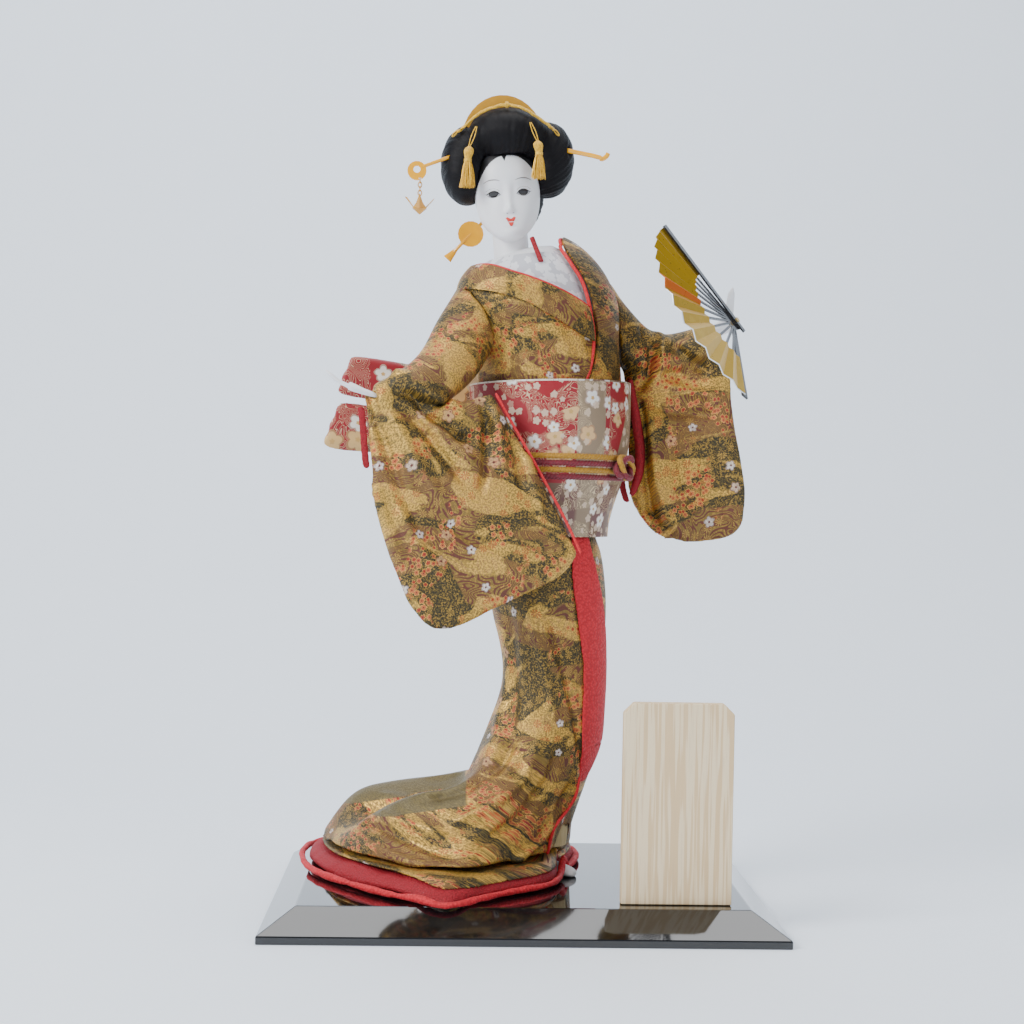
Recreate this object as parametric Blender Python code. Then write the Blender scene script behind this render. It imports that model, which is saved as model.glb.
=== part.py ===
"""Japanese doll in a brocade kimono, on a lacquered board: one named object for each piece.

Metres, +Z up. The origin is at the middle of the board's underside. The viewer stands at -Y.
"""

import math

import bmesh
import bpy
from mathutils import Matrix, Vector

for item in list(bpy.data.objects):
    bpy.data.objects.remove(item, do_unlink=True)

# Clearance between pieces that touch
GAP = 0.0003

# Board and plaque
BASE_WIDTH = 0.300
BASE_DEPTH = 0.225
BASE_HEIGHT = 0.0173
BASE_EDGE = 0.0046
BASE_SLOPE = 0.0202
BASE_ROUND = 0.0005
PLAQUE_WIDTH = 0.064
PLAQUE_HEIGHT = 0.116
PLAQUE_THICK = 0.008
PLAQUE_CLIP = 0.006
PLAQUE_FROM_SIDE = 0.0303
PLAQUE_FROM_FRONT = 0.0293
PLAQUE_X = BASE_WIDTH / 2 - PLAQUE_FROM_SIDE - PLAQUE_WIDTH / 2
PLAQUE_FRONT_Y = PLAQUE_FROM_FRONT - BASE_DEPTH / 2
ROD_RADIUS = 0.0015
ROD_X = 0.017
ROD_Y = 0.004
ROD_SINK = 0.009
ROD_TOP = 0.150

# Body: each station is height, half width, half depth, middle x, middle y, lean of the section
TURN = math.radians(45.0)
CORE_BOTTOM = 0.0345
CORE_STATIONS = (
    (CORE_BOTTOM, 0.014, 0.012, 0.017, 0.004, 0.0),
    (0.070, 0.017, 0.015, 0.017, 0.004, 0.0),
    (0.130, 0.023, 0.021, 0.019, 0.003, 0.0),
    (0.180, 0.0265, 0.0245, 0.0155, 0.002, 0.0),
    (0.226, 0.0265, 0.0250, 0.0140, 0.002, 0.0),
    (0.245, 0.0300, 0.0280, 0.0140, 0.002, 0.0),
    (0.267, 0.0360, 0.0335, 0.0145, 0.002, 0.0),
    (0.290, 0.0395, 0.0355, 0.0150, 0.002, 0.0),
    (0.3205, 0.0405, 0.0360, 0.0145, 0.002, 0.03),
    (0.345, 0.0435, 0.0350, 0.0120, 0.002, 0.08),
    (0.365, 0.0485, 0.0345, 0.0080, 0.002, 0.14),
    (0.381, 0.0472, 0.0325, 0.0028, 0.002, 0.155),
    (0.3912, 0.0403, 0.0280, 0.0007, 0.001, 0.155),
    (0.3998, 0.0278, 0.0195, 0.0002, 0.001, 0.175),
    (0.4055, 0.0130, 0.0100, 0.0030, 0.001, 0.20),
)
BUST_STATION = 8.5

# Cloth layers, counted out from the body
UNDER_COLLAR_THICK = 0.0011
BODICE_THICK = 0.0018
COLLAR_THICK = 0.0016
PIPING_RADIUS = 0.0011
OBI_THICK = 0.0026
OBI_BOTTOM = 0.2275
OBI_TOP = 0.3205
OBI_BAND_HEIGHT = 0.0105
OBI_BAND_THICK = 0.0010
CORD_RADIUS = 0.0019
CORD_TOP = 0.2760

# Skirt and train
SKIRT_TOP = 0.243
SKIRT_STATIONS = (
    (SKIRT_TOP, 0.0300, 0.0140),
    (0.228, 0.0292, 0.0140),
    (0.220, 0.0338, 0.0145),
    (0.200, 0.0362, 0.0152),
    (0.180, 0.0362, 0.0158),
    (0.160, 0.0330, 0.0190),
    (0.138, 0.0312, 0.0208),
    (0.116, 0.0345, 0.0165),
    (0.100, 0.0375, 0.0130),
)
TRAIN_MIDDLE = (0.012, 0.004)
HEM_OUTLINE = (
    (0.0270, -0.0100), (0.0385, 0.0350), (0.0340, 0.0640), (0.0050, 0.0860), (-0.0400, 0.0930),
    (-0.0900, 0.0930), (-0.1250, 0.0820), (-0.1370, 0.0550), (-0.1355, 0.0187), (-0.1270, -0.0125),
    (-0.1120, -0.0363), (-0.0830, -0.0700), (-0.0435, -0.0985), (-0.0154, -0.0735), (0.0177, -0.0445),
)
HEM_RADIUS = 0.0027
CRIMSON_STAND = 0.0045
CRIMSON_RISE = 0.0070
CRIMSON_SLOPE = 0.0140
PANEL_THICK = 0.0018
SKIRT_EDGE = 0.0020
TRAIN_FLOOR = 0.0120
FRONT_CREST = ((-0.1120, -0.0240), (0.0150, -0.0360), 0.0170, 0.0290)
BACK_CREST = ((-0.1180, 0.0520), (-0.0300, 0.0450), 0.0200, 0.0270)
TRAIN_SHOULDER = 0.0300
TRAIN_FALL = 0.0180
# World angle in degrees, how far the edge of each layer lies inside the hem
PANEL_EDGE = (
    (-180.0, 0.0120), (-140.0, 0.0120), (-127.0, 0.0085), (-118.4, 0.0060), (-108.0, 0.0050), (-90.0, 0.0045),
    (-40.0, 0.0040), (0.0, 0.0040), (90.0, 0.0070), (150.0, 0.0110), (180.0, 0.0120),
)
SKIRT_EDGE_INSIDE = (
    (-180.0, 0.0125), (-145.0, 0.0150), (-130.0, 0.0240), (-115.0, 0.0300), (-95.0, 0.0240), (-70.0, 0.0130),
    (-45.0, 0.0060), (0.0, 0.0050), (90.0, 0.0080), (150.0, 0.0115), (180.0, 0.0125),
)
FOOT_LIFT = 0.0080
FOOT_LIFT_ANGLE = -38.0
FOOT_LIFT_SPREAD = 16.0
FOOT_LENGTH = 0.046
FOOT_WIDTH = 0.0150
FOOT_HEIGHT = 0.0165

COLUMNS = 28
# How far a sharp corner of a cutting shape may be pushed out, times the clearance
SHARPEST = 2.0
# An end with more corners than this is closed by a fan, because it may not be flat
FAN_CAP = 24


def paint(name, color, roughness, metallic=0.0):
    """A Principled material of one colour."""
    made = bpy.data.materials.new(name)
    made.use_nodes = True
    shader = made.node_tree.nodes["Principled BSDF"]
    shader.inputs["Base Color"].default_value = (*color, 1.0)
    shader.inputs["Roughness"].default_value = roughness
    shader.inputs["Metallic"].default_value = metallic
    made.diffuse_color = (*color, 1.0)
    return made


LACQUER = paint("black_lacquer", (0.008, 0.008, 0.009), 0.08)
WOOD = paint("plaque_wood", (0.82, 0.72, 0.55), 0.6)
STEEL = paint("steel", (0.5, 0.5, 0.5), 0.35, 1.0)
STRAW = paint("straw_body", (0.55, 0.45, 0.25), 0.9)
SKIN = paint("white_skin", (0.85, 0.85, 0.87), 0.45)
HAIR = paint("black_hair", (0.006, 0.006, 0.008), 0.35)
AMBER = paint("amber", (0.75, 0.36, 0.03), 0.25)
GOLD_THREAD = paint("gold_thread", (0.75, 0.50, 0.10), 0.4, 0.4)
BROCADE = paint("olive_brocade", (0.20, 0.15, 0.05), 0.5, 0.2)
CRIMSON = paint("crimson_cloth", (0.55, 0.01, 0.03), 0.7)
CORAL = paint("coral_crepe", (0.80, 0.09, 0.10), 0.75)
WHITE_CLOTH = paint("white_cloth", (0.80, 0.81, 0.84), 0.7)
OBI_CLOTH = paint("obi_brocade", (0.55, 0.04, 0.04), 0.55)
OBI_CREAM = paint("obi_cream", (0.80, 0.70, 0.52), 0.55)
MAROON = paint("maroon_cord", (0.25, 0.01, 0.03), 0.6)
FAN_GOLD = paint("gold_paper", (0.70, 0.45, 0.04), 0.3, 0.7)
BLACK_BAMBOO = paint("black_bamboo", (0.02, 0.02, 0.025), 0.3)


def finish(name, bm, made_of, angle=50.0):
    """The bmesh as a named object, shaded smooth below the given angle."""
    bmesh.ops.recalc_face_normals(bm, faces=bm.faces)
    mesh = bpy.data.meshes.new(name)
    bm.to_mesh(mesh)
    bm.free()
    mesh.materials.append(made_of)
    mesh.shade_smooth()
    mesh.set_sharp_from_angle(angle=math.radians(angle))
    made = bpy.data.objects.new(name, mesh)
    bpy.context.collection.objects.link(made)
    return made


def through(points, place, closed=False):
    """The point at place (0 to 1) on a smooth curve through the given points."""
    last = len(points) if closed else len(points) - 1
    spot = min(max(place, 0.0), 1.0) * last
    start = min(int(spot), last - 1)
    part = spot - start

    def pick(index):
        if closed:
            return Vector(points[index % len(points)])
        return Vector(points[min(max(index, 0), len(points) - 1)])

    before, here, there, after = (pick(start + step) for step in (-1, 0, 1, 2))
    return 0.5 * (
        2.0 * here
        + (there - before) * part
        + (2.0 * before - 5.0 * here + 4.0 * there - after) * part**2
        + (3.0 * here - before - 3.0 * there + after) * part**3
    )


def curve(points, count, closed=False):
    """Count points along the smooth curve through the given ones."""
    steps = count if closed else count - 1
    return [through(points, index / steps, closed) for index in range(count)]


def loft(name, rings, made_of, closed=False, angle=50.0, flat_ends=False):
    """A solid skinned over rings of points, with its two ends filled unless it closes on itself."""
    bm = bmesh.new()
    rows = [[bm.verts.new(point) for point in ring] for ring in rings]
    spans = list(zip(rows, rows[1:]))
    if closed:
        spans.append((rows[-1], rows[0]))
    for lower, upper in spans:
        for index in range(len(lower)):
            after = (index + 1) % len(lower)
            bm.faces.new((lower[index], lower[after], upper[after], upper[index]))
    if not closed:
        caps = [bm.faces.new(reversed(rows[0])), bm.faces.new(rows[-1])]
        if len(rings[0]) > FAN_CAP and not flat_ends:
            bmesh.ops.poke(bm, faces=caps)
    return finish(name, bm, made_of, angle)


def two_faced(name, inner, outer, columns, rows, made_of, closed=False, angle=50.0):
    """A cloth of real thickness between two surfaces of (u, v), each from 0 to 1."""
    bm = bmesh.new()
    across = columns if closed else columns + 1
    grids = []
    for surface in (inner, outer):
        grids.append([
            [bm.verts.new(surface(col / columns, row / rows)) for col in range(across)]
            for row in range(rows + 1)
        ])
    back, front = grids
    for row in range(rows):
        for col in range(columns):
            side = (col + 1) % across
            for grid in grids:
                bm.faces.new((grid[row][col], grid[row][side], grid[row + 1][side], grid[row + 1][col]))
    for row in (0, rows):
        for col in range(columns):
            side = (col + 1) % across
            bm.faces.new((back[row][col], back[row][side], front[row][side], front[row][col]))
    if not closed:
        for col in (0, columns):
            for row in range(rows):
                bm.faces.new((back[row][col], back[row + 1][col], front[row + 1][col], front[row][col]))
    return finish(name, bm, made_of, angle)


def tube(name, path, radius, made_of, sides=8, closed=False, flat=1.0, up=(0.0, 0.0, 1.0)):
    """A round cord along a path; radius may be a number or a function of the place along it."""
    rings = []
    count = len(path)
    normal = Vector(up)
    for index, point in enumerate(path):
        ahead = path[(index + 1) % count] if closed else path[min(index + 1, count - 1)]
        behind = path[index - 1] if closed else path[max(index - 1, 0)]
        along = (ahead - behind).normalized()
        normal = (normal - along * normal.dot(along)).normalized()
        side = along.cross(normal)
        size = radius(index / (count - 1)) if callable(radius) else radius
        rings.append([
            point
            + normal * (math.cos(turn) * size * flat)
            + side * (math.sin(turn) * size)
            for turn in (math.tau * step / sides for step in range(sides))
        ])
    return loft(name, rings, made_of, closed)


def ball(name, middle, radii, made_of, segments=24, rings=14, turn=0.0):
    """An egg shape: a sphere stretched to three radii."""
    bm = bmesh.new()
    bmesh.ops.create_uvsphere(bm, u_segments=segments, v_segments=rings, radius=1.0)
    place = Matrix.Translation(middle) @ Matrix.Rotation(turn, 4, "Y") @ Matrix.Diagonal((*radii, 1.0))
    bmesh.ops.transform(bm, matrix=place, verts=bm.verts)
    return finish(name, bm, made_of, 80.0)


def settle(made):
    """Applies an object's modifiers."""
    graph = bpy.context.evaluated_depsgraph_get()
    mesh = bpy.data.meshes.new_from_object(made.evaluated_get(graph))
    made.modifiers.clear()
    made.data = mesh


def keep_largest(made):
    """Removes the loose scraps that a cut can leave beside the main body."""
    bm = bmesh.new()
    bm.from_mesh(made.data)
    left = set(bm.faces)
    groups = []
    while left:
        group = [left.pop()]
        for face in group:
            for edge in face.edges:
                for other in edge.link_faces:
                    if other in left:
                        left.discard(other)
                        group.append(other)
        groups.append(group)
    groups.sort(key=lambda group: sum(face.calc_area() for face in group), reverse=True)
    scraps = [face for group in groups[1:] for face in group]
    bmesh.ops.delete(bm, geom=scraps, context="FACES")
    bm.to_mesh(made.data)
    bm.free()


def boolean(made, tool, operation, solver="EXACT"):
    """One Boolean on an object, applied at once; the tool stays."""
    step = made.modifiers.new("cut", "BOOLEAN")
    step.operation = operation
    step.solver = solver
    step.object = tool
    bpy.context.view_layer.update()
    settle(made)


def join(name, pieces):
    """The union of several solids as one."""
    first = pieces[0]
    for piece in pieces[1:]:
        boolean(first, piece, "UNION")
        bpy.data.objects.remove(piece, do_unlink=True)
    keep_largest(first)
    first.name = name
    first.data.name = name
    return first


def make_room(made, *others, gap=GAP, solver="EXACT"):
    """Cuts an object back by its neighbours, each grown by the clearance."""
    for other in others:
        tool = other.copy()
        tool.data = other.data.copy()
        bpy.context.collection.objects.link(tool)
        bm = bmesh.new()
        bm.from_mesh(tool.data)
        bm.normal_update()
        moves = [(vert, vert.normal * gap * min(vert.calc_shell_factor(), SHARPEST)) for vert in bm.verts]
        for vert, move in moves:
            vert.co += move
        bm.to_mesh(tool.data)
        bm.free()
        boolean(made, tool, "DIFFERENCE", solver)
        bpy.data.objects.remove(tool, do_unlink=True)
    keep_largest(made)


# Stand


def rectangle(half_x, half_y, height):
    """Four corners, counter-clockwise from above."""
    return [
        Vector((-half_x, -half_y, height)),
        Vector((half_x, -half_y, height)),
        Vector((half_x, half_y, height)),
        Vector((-half_x, half_y, height)),
    ]


def bevelled(made, width, segments=1):
    step = made.modifiers.new("soft_edges", "BEVEL")
    step.width = width
    step.segments = segments
    step.limit_method = "ANGLE"
    step.angle_limit = math.radians(25.0)
    settle(made)
    return made


def rod(radius, bottom, top, name="support_rod"):
    rings = [
        [
            Vector((ROD_X + math.cos(turn) * radius, ROD_Y + math.sin(turn) * radius, height))
            for turn in (math.tau * step / 16 for step in range(16))
        ]
        for height in (bottom, top)
    ]
    return loft(name, rings, STEEL)


half_w, half_d = BASE_WIDTH / 2, BASE_DEPTH / 2
base = loft(
    "base_board",
    [
        rectangle(half_w, half_d, 0.0),
        rectangle(half_w, half_d, BASE_EDGE),
        rectangle(half_w - BASE_SLOPE, half_d - BASE_SLOPE, BASE_HEIGHT),
    ],
    LACQUER,
    angle=20.0,
)
bevelled(base, BASE_ROUND)
support = rod(ROD_RADIUS, BASE_HEIGHT - ROD_SINK + GAP, ROD_TOP)
make_room(base, support)

clip_w = PLAQUE_WIDTH / 2
plaque_low = BASE_HEIGHT + GAP
plaque_high = plaque_low + PLAQUE_HEIGHT
plaque_outline = (
    (-clip_w, plaque_low), (clip_w, plaque_low), (clip_w, plaque_high - PLAQUE_CLIP),
    (clip_w - PLAQUE_CLIP, plaque_high), (PLAQUE_CLIP - clip_w, plaque_high),
    (-clip_w, plaque_high - PLAQUE_CLIP),
)
plaque = loft(
    "name_plaque",
    [
        [Vector((PLAQUE_X + x, y, z)) for x, z in plaque_outline]
        for y in (PLAQUE_FRONT_Y, PLAQUE_FRONT_Y + PLAQUE_THICK)
    ],
    WOOD,
    angle=20.0,
)
bevelled(plaque, BASE_ROUND)


# Body


def station(spot):
    """The body section at a place along the stations: middle, half width, half depth, lean."""
    height, wide, deep, mid_x, mid_y, lean = through6(CORE_STATIONS, spot)
    return height, wide, deep, mid_x, mid_y, lean


def through6(rows, spot):
    """Smooth values between rows of numbers, at a fractional row."""
    start = min(max(int(spot), 0), len(rows) - 2)
    part = spot - start
    lists = [rows[min(max(start + step, 0), len(rows) - 1)] for step in (-1, 0, 1, 2)]
    made = []
    for before, here, there, after in zip(*lists):
        made.append(0.5 * (
            2.0 * here
            + (there - before) * part
            + (2.0 * before - 5.0 * here + 4.0 * there - after) * part**2
            + (3.0 * here - before - 3.0 * there + after) * part**3
        ))
    return made


def torso(turn, spot, out=0.0):
    """A point on the body: turn from the front (positive to her right), spot along the stations."""
    height, wide, deep, mid_x, mid_y, lean = station(spot)
    last = len(CORE_STATIONS) - 1
    rise = out * max(0.0, spot - (last - 3)) / 3
    reach = out * (1.0 if spot < last - 3 else max(0.35, 1.0 - (spot - last + 3) / 4))
    ahead = (deep + reach) * math.cos(turn)
    right = (wide + reach) * math.sin(turn)
    x = ahead * math.sin(TURN) - right * math.cos(TURN)
    y = -ahead * math.cos(TURN) - right * math.sin(TURN)
    return Vector((mid_x + x, mid_y + y, height + lean * x + rise))


def spot_at(height):
    """The place along the stations at a height of the body's axis."""
    low, high = 0.0, float(len(CORE_STATIONS) - 1)
    for _ in range(40):
        middle = (low + high) / 2
        if station(middle)[0] < height:
            low = middle
        else:
            high = middle
    return low


def torso_ring(spot, out=0.0, columns=COLUMNS):
    return [torso(-math.tau * step / columns, spot, out) for step in range(columns)]


core = loft("body_core", [torso_ring(float(spot), 0.0, 14) for spot in range(int(BUST_STATION) + 1)], STRAW)
make_room(core, support)


# Head: section rows are height above the eyes, half width, front, back
HEAD_MIDDLE = (-0.0146, 0.0020, 0.4368)
HEAD_TILT = math.radians(-6.0)
HEAD_SECTIONS = (
    (-0.0284, 0.0032, -0.0190, -0.0110),
    (-0.0272, 0.0062, -0.0212, -0.0070),
    (-0.0244, 0.0098, -0.0220, 0.0000),
    (-0.0210, 0.0131, -0.0219, 0.0080),
    (-0.0158, 0.0166, -0.0215, 0.0140),
    (-0.0080, 0.0192, -0.0214, 0.0180),
    (0.0000, 0.0203, -0.0217, 0.0200),
    (0.0080, 0.0205, -0.0226, 0.0210),
    (0.0160, 0.0196, -0.0222, 0.0205),
    (0.0240, 0.0165, -0.0185, 0.0185),
    (0.0290, 0.0110, -0.0120, 0.0135),
    (0.0315, 0.0045, -0.0050, 0.0060),
)
# Each feature: sideways place, height, width, tallness, how far it stands out
FACE_FEATURES = (
    (0.0, -0.0040, 0.0021, 0.0060, 0.0016),
    (0.0, -0.0098, 0.0024, 0.0030, 0.0028),
    (0.0026, -0.0112, 0.0016, 0.0016, 0.0008),
    (0.0092, -0.0003, 0.0046, 0.0032, -0.0013),
    (0.0030, 0.0005, 0.0018, 0.0035, -0.0006),
    (0.0, -0.0166, 0.0032, 0.0012, 0.0011),
    (0.0, -0.0196, 0.0028, 0.0012, 0.0010),
    (0.0, -0.0246, 0.0045, 0.0030, 0.0009),
    (0.0105, -0.0125, 0.0060, 0.0060, 0.0005),
)
NECK_RADIUS = 0.0110
NECK_FOOT = (-0.0095, 0.0030, 0.3850)
NECK_TOP = (-0.0130, 0.0040, 0.4200)


def head_point(x, y, z):
    """A place given from the point between the eyes, in the tilted head."""
    local = Matrix.Rotation(HEAD_TILT, 3, "Y") @ Vector((x, y, z))
    return Vector(HEAD_MIDDLE) + local


def face_relief(x, z):
    """How far the face stands out at a place, from its features."""
    out = 0.0
    for side, height, wide, tall, rise in FACE_FEATURES:
        for sign in ((1.0,) if side == 0.0 else (1.0, -1.0)):
            across = (x - sign * side) / wide
            up = (z - height) / tall
            out += rise * math.exp(-across * across - up * up)
    return out


def head_ring(spot, columns):
    height, wide, front, back = through6(HEAD_SECTIONS, spot)
    ring = []
    for step in range(columns):
        turn = math.tau * step / columns
        lean = math.sin(turn)
        x = wide * math.copysign(abs(lean) ** 0.92, lean)
        ahead = math.cos(turn)
        middle = (front + back) / 2
        half = (back - front) / 2
        y = middle - half * math.copysign(abs(ahead) ** 0.88, ahead)
        if ahead > 0.0:
            y -= face_relief(x, height) * min(1.0, ahead * 2.0)
        ring.append(head_point(x, y, height))
    return ring


HEAD_COLUMNS = 24
HEAD_ROWS = 23
face = loft(
    "face",
    [head_ring(row * (len(HEAD_SECTIONS) - 1) / (HEAD_ROWS - 1), HEAD_COLUMNS) for row in range(HEAD_ROWS)],
    SKIN, angle=80.0,
)
neck_path = curve([NECK_FOOT, NECK_TOP], 6)
neck = tube("neck", neck_path, NECK_RADIUS, SKIN, 14, up=(1.0, 0.0, 0.0))
bust_top = float(len(CORE_STATIONS) - 1)
bust_steps = 8
bust_low = int(BUST_STATION) + 0.012
bust = loft(
    "bust",
    [torso_ring(bust_low + (bust_top - bust_low) * row / bust_steps, 0.0, 20) for row in range(bust_steps + 1)],
    SKIN, angle=80.0,
)
head = join("head", [bust, neck, face])

# Hair: each lump is middle, three radii
HAIR_LUMPS = (
    ((-0.0400, 0.0030, 0.4565), (0.0172, 0.0200, 0.0250)),
    ((0.0105, 0.0050, 0.4615), (0.0170, 0.0200, 0.0240)),
    ((-0.0150, -0.0030, 0.4735), (0.0265, 0.0245, 0.0185)),
    ((-0.0160, 0.0120, 0.4740), (0.0300, 0.0240, 0.0220)),
    ((-0.0120, 0.0250, 0.4440), (0.0225, 0.0180, 0.0280)),
)
TOPKNOT_MIDDLE = (-0.0165, 0.0240, 0.4890)
TOPKNOT_RADII = (0.0150, 0.0175, 0.0095)


def hair_front(x, z, out=0.0):
    """The nearest point of the hair to the viewer at a place, standing out by a distance."""
    nearest = None
    for (mid_x, mid_y, mid_z), (wide, deep, tall) in HAIR_LUMPS:
        across = (x - mid_x) / (wide + out)
        up = (z - mid_z) / (tall + out)
        inside = 1.0 - across * across - up * up
        if inside > 0.0:
            y = mid_y - (deep + out) * math.sqrt(inside)
            nearest = y if nearest is None else min(nearest, y)
    return Vector((x, 0.0 if nearest is None else nearest, z))


lumps = [ball("lump", middle, radii, HAIR, 16, 9) for middle, radii in HAIR_LUMPS]
wig = join("wig", lumps)
make_room(wig, head)
topknot = ball("topknot", TOPKNOT_MIDDLE, TOPKNOT_RADII, HAIR, 14, 8)
make_room(topknot, wig)

# Comb and gold cord
COMB_MIDDLE = (-0.0178, 0.0000, 0.4700)
COMB_OUTER = (0.0262, 0.0298)
COMB_INNER = (0.0200, 0.0178)
COMB_THICK = 0.0026
COMB_SWEEP = math.radians(62.0)
COMB_TILT = math.radians(-6.0)
COMB_LEAN = math.radians(12.0)
HAIR_CORD_RADIUS = 0.0013
HAIR_CORD_ROUTE = (
    (-0.0466, 0.4745), (-0.0420, 0.4785), (-0.0340, 0.4845), (-0.0250, 0.4885), (-0.0170, 0.4902),
    (-0.0080, 0.4885), (0.0000, 0.4845), (0.0080, 0.4800), (0.0130, 0.4770),
)


def comb_surface(side):
    def place(u, v):
        turn = COMB_SWEEP * (2.0 * u - 1.0)
        wide = COMB_INNER[0] + (COMB_OUTER[0] - COMB_INNER[0]) * v
        tall = COMB_INNER[1] + (COMB_OUTER[1] - COMB_INNER[1]) * v
        local = Vector((math.sin(turn) * wide, side * COMB_THICK / 2, math.cos(turn) * tall))
        local = Matrix.Rotation(COMB_LEAN, 3, "X") @ local
        return Vector(COMB_MIDDLE) + Matrix.Rotation(COMB_TILT, 3, "Y") @ local
    return place


comb = two_faced("comb", comb_surface(1.0), comb_surface(-1.0), 12, 1, AMBER, angle=40.0)
make_room(wig, comb)
make_room(topknot, comb)
cord_route = curve([hair_front(x, z, HAIR_CORD_RADIUS + GAP) for x, z in HAIR_CORD_ROUTE], 18)
hair_cord = tube("hair_cord", cord_route, HAIR_CORD_RADIUS, GOLD_THREAD, 6, up=(0.0, -1.0, 0.0))
make_room(hair_cord, wig, comb)

# Tassels: rows are height below the cord, radius
TASSEL_PROFILE = (
    (0.0, 0.0007), (0.0115, 0.0009), (0.0130, 0.0021), (0.0155, 0.0027), (0.0185, 0.0026),
    (0.0205, 0.0019), (0.0225, 0.0021), (0.0260, 0.0031), (0.0320, 0.0040), (0.0370, 0.0047),
)
TASSELS = (("tassel_right", -0.0350, -0.0398, 0.4760), ("tassel_left", -0.0022, 0.0034, 0.4785))


def tassel(name, top_x, low_x, top_z, scale):
    rings = []
    length = TASSEL_PROFILE[-1][0]
    y = 0.0
    for down, radius in TASSEL_PROFILE:
        part = down / length
        x = top_x + (low_x - top_x) * min(1.0, part * 2.5)
        z = top_z - down * scale
        y = min(y, hair_front(x, z, radius + GAP).y)
        rings.append([
            Vector((x + math.cos(turn) * radius, y + math.sin(turn) * radius, z))
            for turn in (math.tau * step / 8 for step in range(8))
        ])
    made = loft(name, rings[::-1], GOLD_THREAD, angle=50.0)
    make_room(made, wig, hair_cord, comb, head)
    return made


tassels = [tassel(name, a, b, z, 1.0 if low else 0.92) for low, (name, a, b, z) in zip((1, 0), TASSELS)]

# Hair sticks
STICK_RADIUS = 0.0011
FLOWER_PIN = ((-0.0400, -0.0080, 0.4640), (-0.0672, -0.0110, 0.4527))
FLOWER_MIDDLE = (-0.0708, -0.0110, 0.4501)
FLOWER_RADIUS = 0.0059
FLOWER_HOLE = 0.0022
FLOWER_THICK = 0.0014
HOOK_PIN = (
    (0.0060, -0.0040, 0.4690), (0.0389, -0.0100, 0.4620), (0.0425, -0.0100, 0.4603), (0.0455, -0.0100, 0.4618),
    (0.0468, -0.0100, 0.4640),
)
NAPE_MIDDLE = (-0.0369, 0.0140, 0.4160)
NAPE_DIRECTION = (0.670, 0.0, 0.742)
NAPE_DISC = 0.0081
NAPE_INSIDE = 0.0215
NAPE_OUTSIDE = 0.0155
NAPE_PADDLE = 0.0062
NAPE_THICK = 0.0016


def disc(name, middle, radius, thick, hole=0.0, hole_shift=0.0, facets=18):
    """A flat disc facing the viewer, with a round hole if one is given."""
    def ring(size, y, shift):
        return [
            Vector(middle) + Vector((math.cos(turn) * size, y, math.sin(turn) * size + shift))
            for turn in (math.tau * step / facets for step in range(facets))
        ]

    if hole == 0.0:
        return loft(name, [ring(radius, -thick / 2, 0.0), ring(radius, thick / 2, 0.0)], AMBER, angle=30.0)
    rings = [
        ring(radius, -thick / 2, 0.0), ring(radius, thick / 2, 0.0),
        ring(hole, thick / 2, hole_shift), ring(hole, -thick / 2, hole_shift),
    ]
    return loft(name, rings, AMBER, closed=True, angle=30.0)


flower_stick = tube("stick", curve(FLOWER_PIN, 3), STICK_RADIUS, AMBER, 8)
flower_disc = disc("disc", FLOWER_MIDDLE, FLOWER_RADIUS, FLOWER_THICK, FLOWER_HOLE, 0.0008)
pin_flower = join("pin_flower", [flower_disc, flower_stick])
pin_hook = tube("pin_hook", curve(HOOK_PIN, 14), STICK_RADIUS, AMBER, 8, flat=1.3)
nape_way = Vector(NAPE_DIRECTION).normalized()
nape_mid = Vector(NAPE_MIDDLE)
nape_inner = nape_mid + nape_way * NAPE_INSIDE + Vector((0.0, NAPE_INSIDE * 0.35, 0.0))
nape_outer = nape_mid - nape_way * NAPE_OUTSIDE
nape_paddle = nape_mid - nape_way * (NAPE_OUTSIDE + NAPE_PADDLE)
pin_nape = join("pin_nape", [
    disc("disc", NAPE_MIDDLE, NAPE_DISC, NAPE_THICK),
    tube("stick", curve([nape_outer, nape_mid, nape_inner], 5), STICK_RADIUS, AMBER, 8),
    tube(
        "paddle", curve([nape_outer + nape_way * 0.002, nape_paddle], 4),
        lambda part: 0.0011 + 0.0019 * part, AMBER, 8, flat=0.4, up=(0.0, 1.0, 0.0),
    ),
])
make_room(wig, pin_flower, pin_hook, pin_nape)
make_room(pin_nape, head)

# Hanging charm: links, then a folded crane
LINK_COUNT = 4
LINK_TALL = 0.00175
LINK_WIDE = 0.00115
LINK_WIRE = 0.00034
LINK_PITCH = (LINK_TALL - LINK_WIRE) * 2.0 - GAP
CHAIN_TOP = (FLOWER_MIDDLE[0] + 0.0020, FLOWER_MIDDLE[1], FLOWER_MIDDLE[2] - FLOWER_RADIUS + 0.0009)
CRANE_HALF = 0.0096
CRANE_TALL = 0.0125
CRANE_DEEP = 0.0045


def link(index):
    """One oval link of the chain, turned a quarter from the last."""
    middle = Vector(CHAIN_TOP) - Vector((0.0, 0.0, LINK_TALL - LINK_WIRE * 2 + index * LINK_PITCH))
    across = Vector((0.0, 1.0, 0.0)) if index % 2 == 0 else Vector((1.0, 0.0, 0.0))
    path = [
        middle + across * (math.cos(turn) * LINK_WIDE) + Vector((0.0, 0.0, math.sin(turn) * LINK_TALL))
        for turn in (math.tau * step / 10 for step in range(10))
    ]
    side = across.cross(Vector((0.0, 0.0, 1.0)))
    return tube(f"chain_link_{index + 1}", path, LINK_WIRE, AMBER, 4, closed=True, up=tuple(side))


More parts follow.
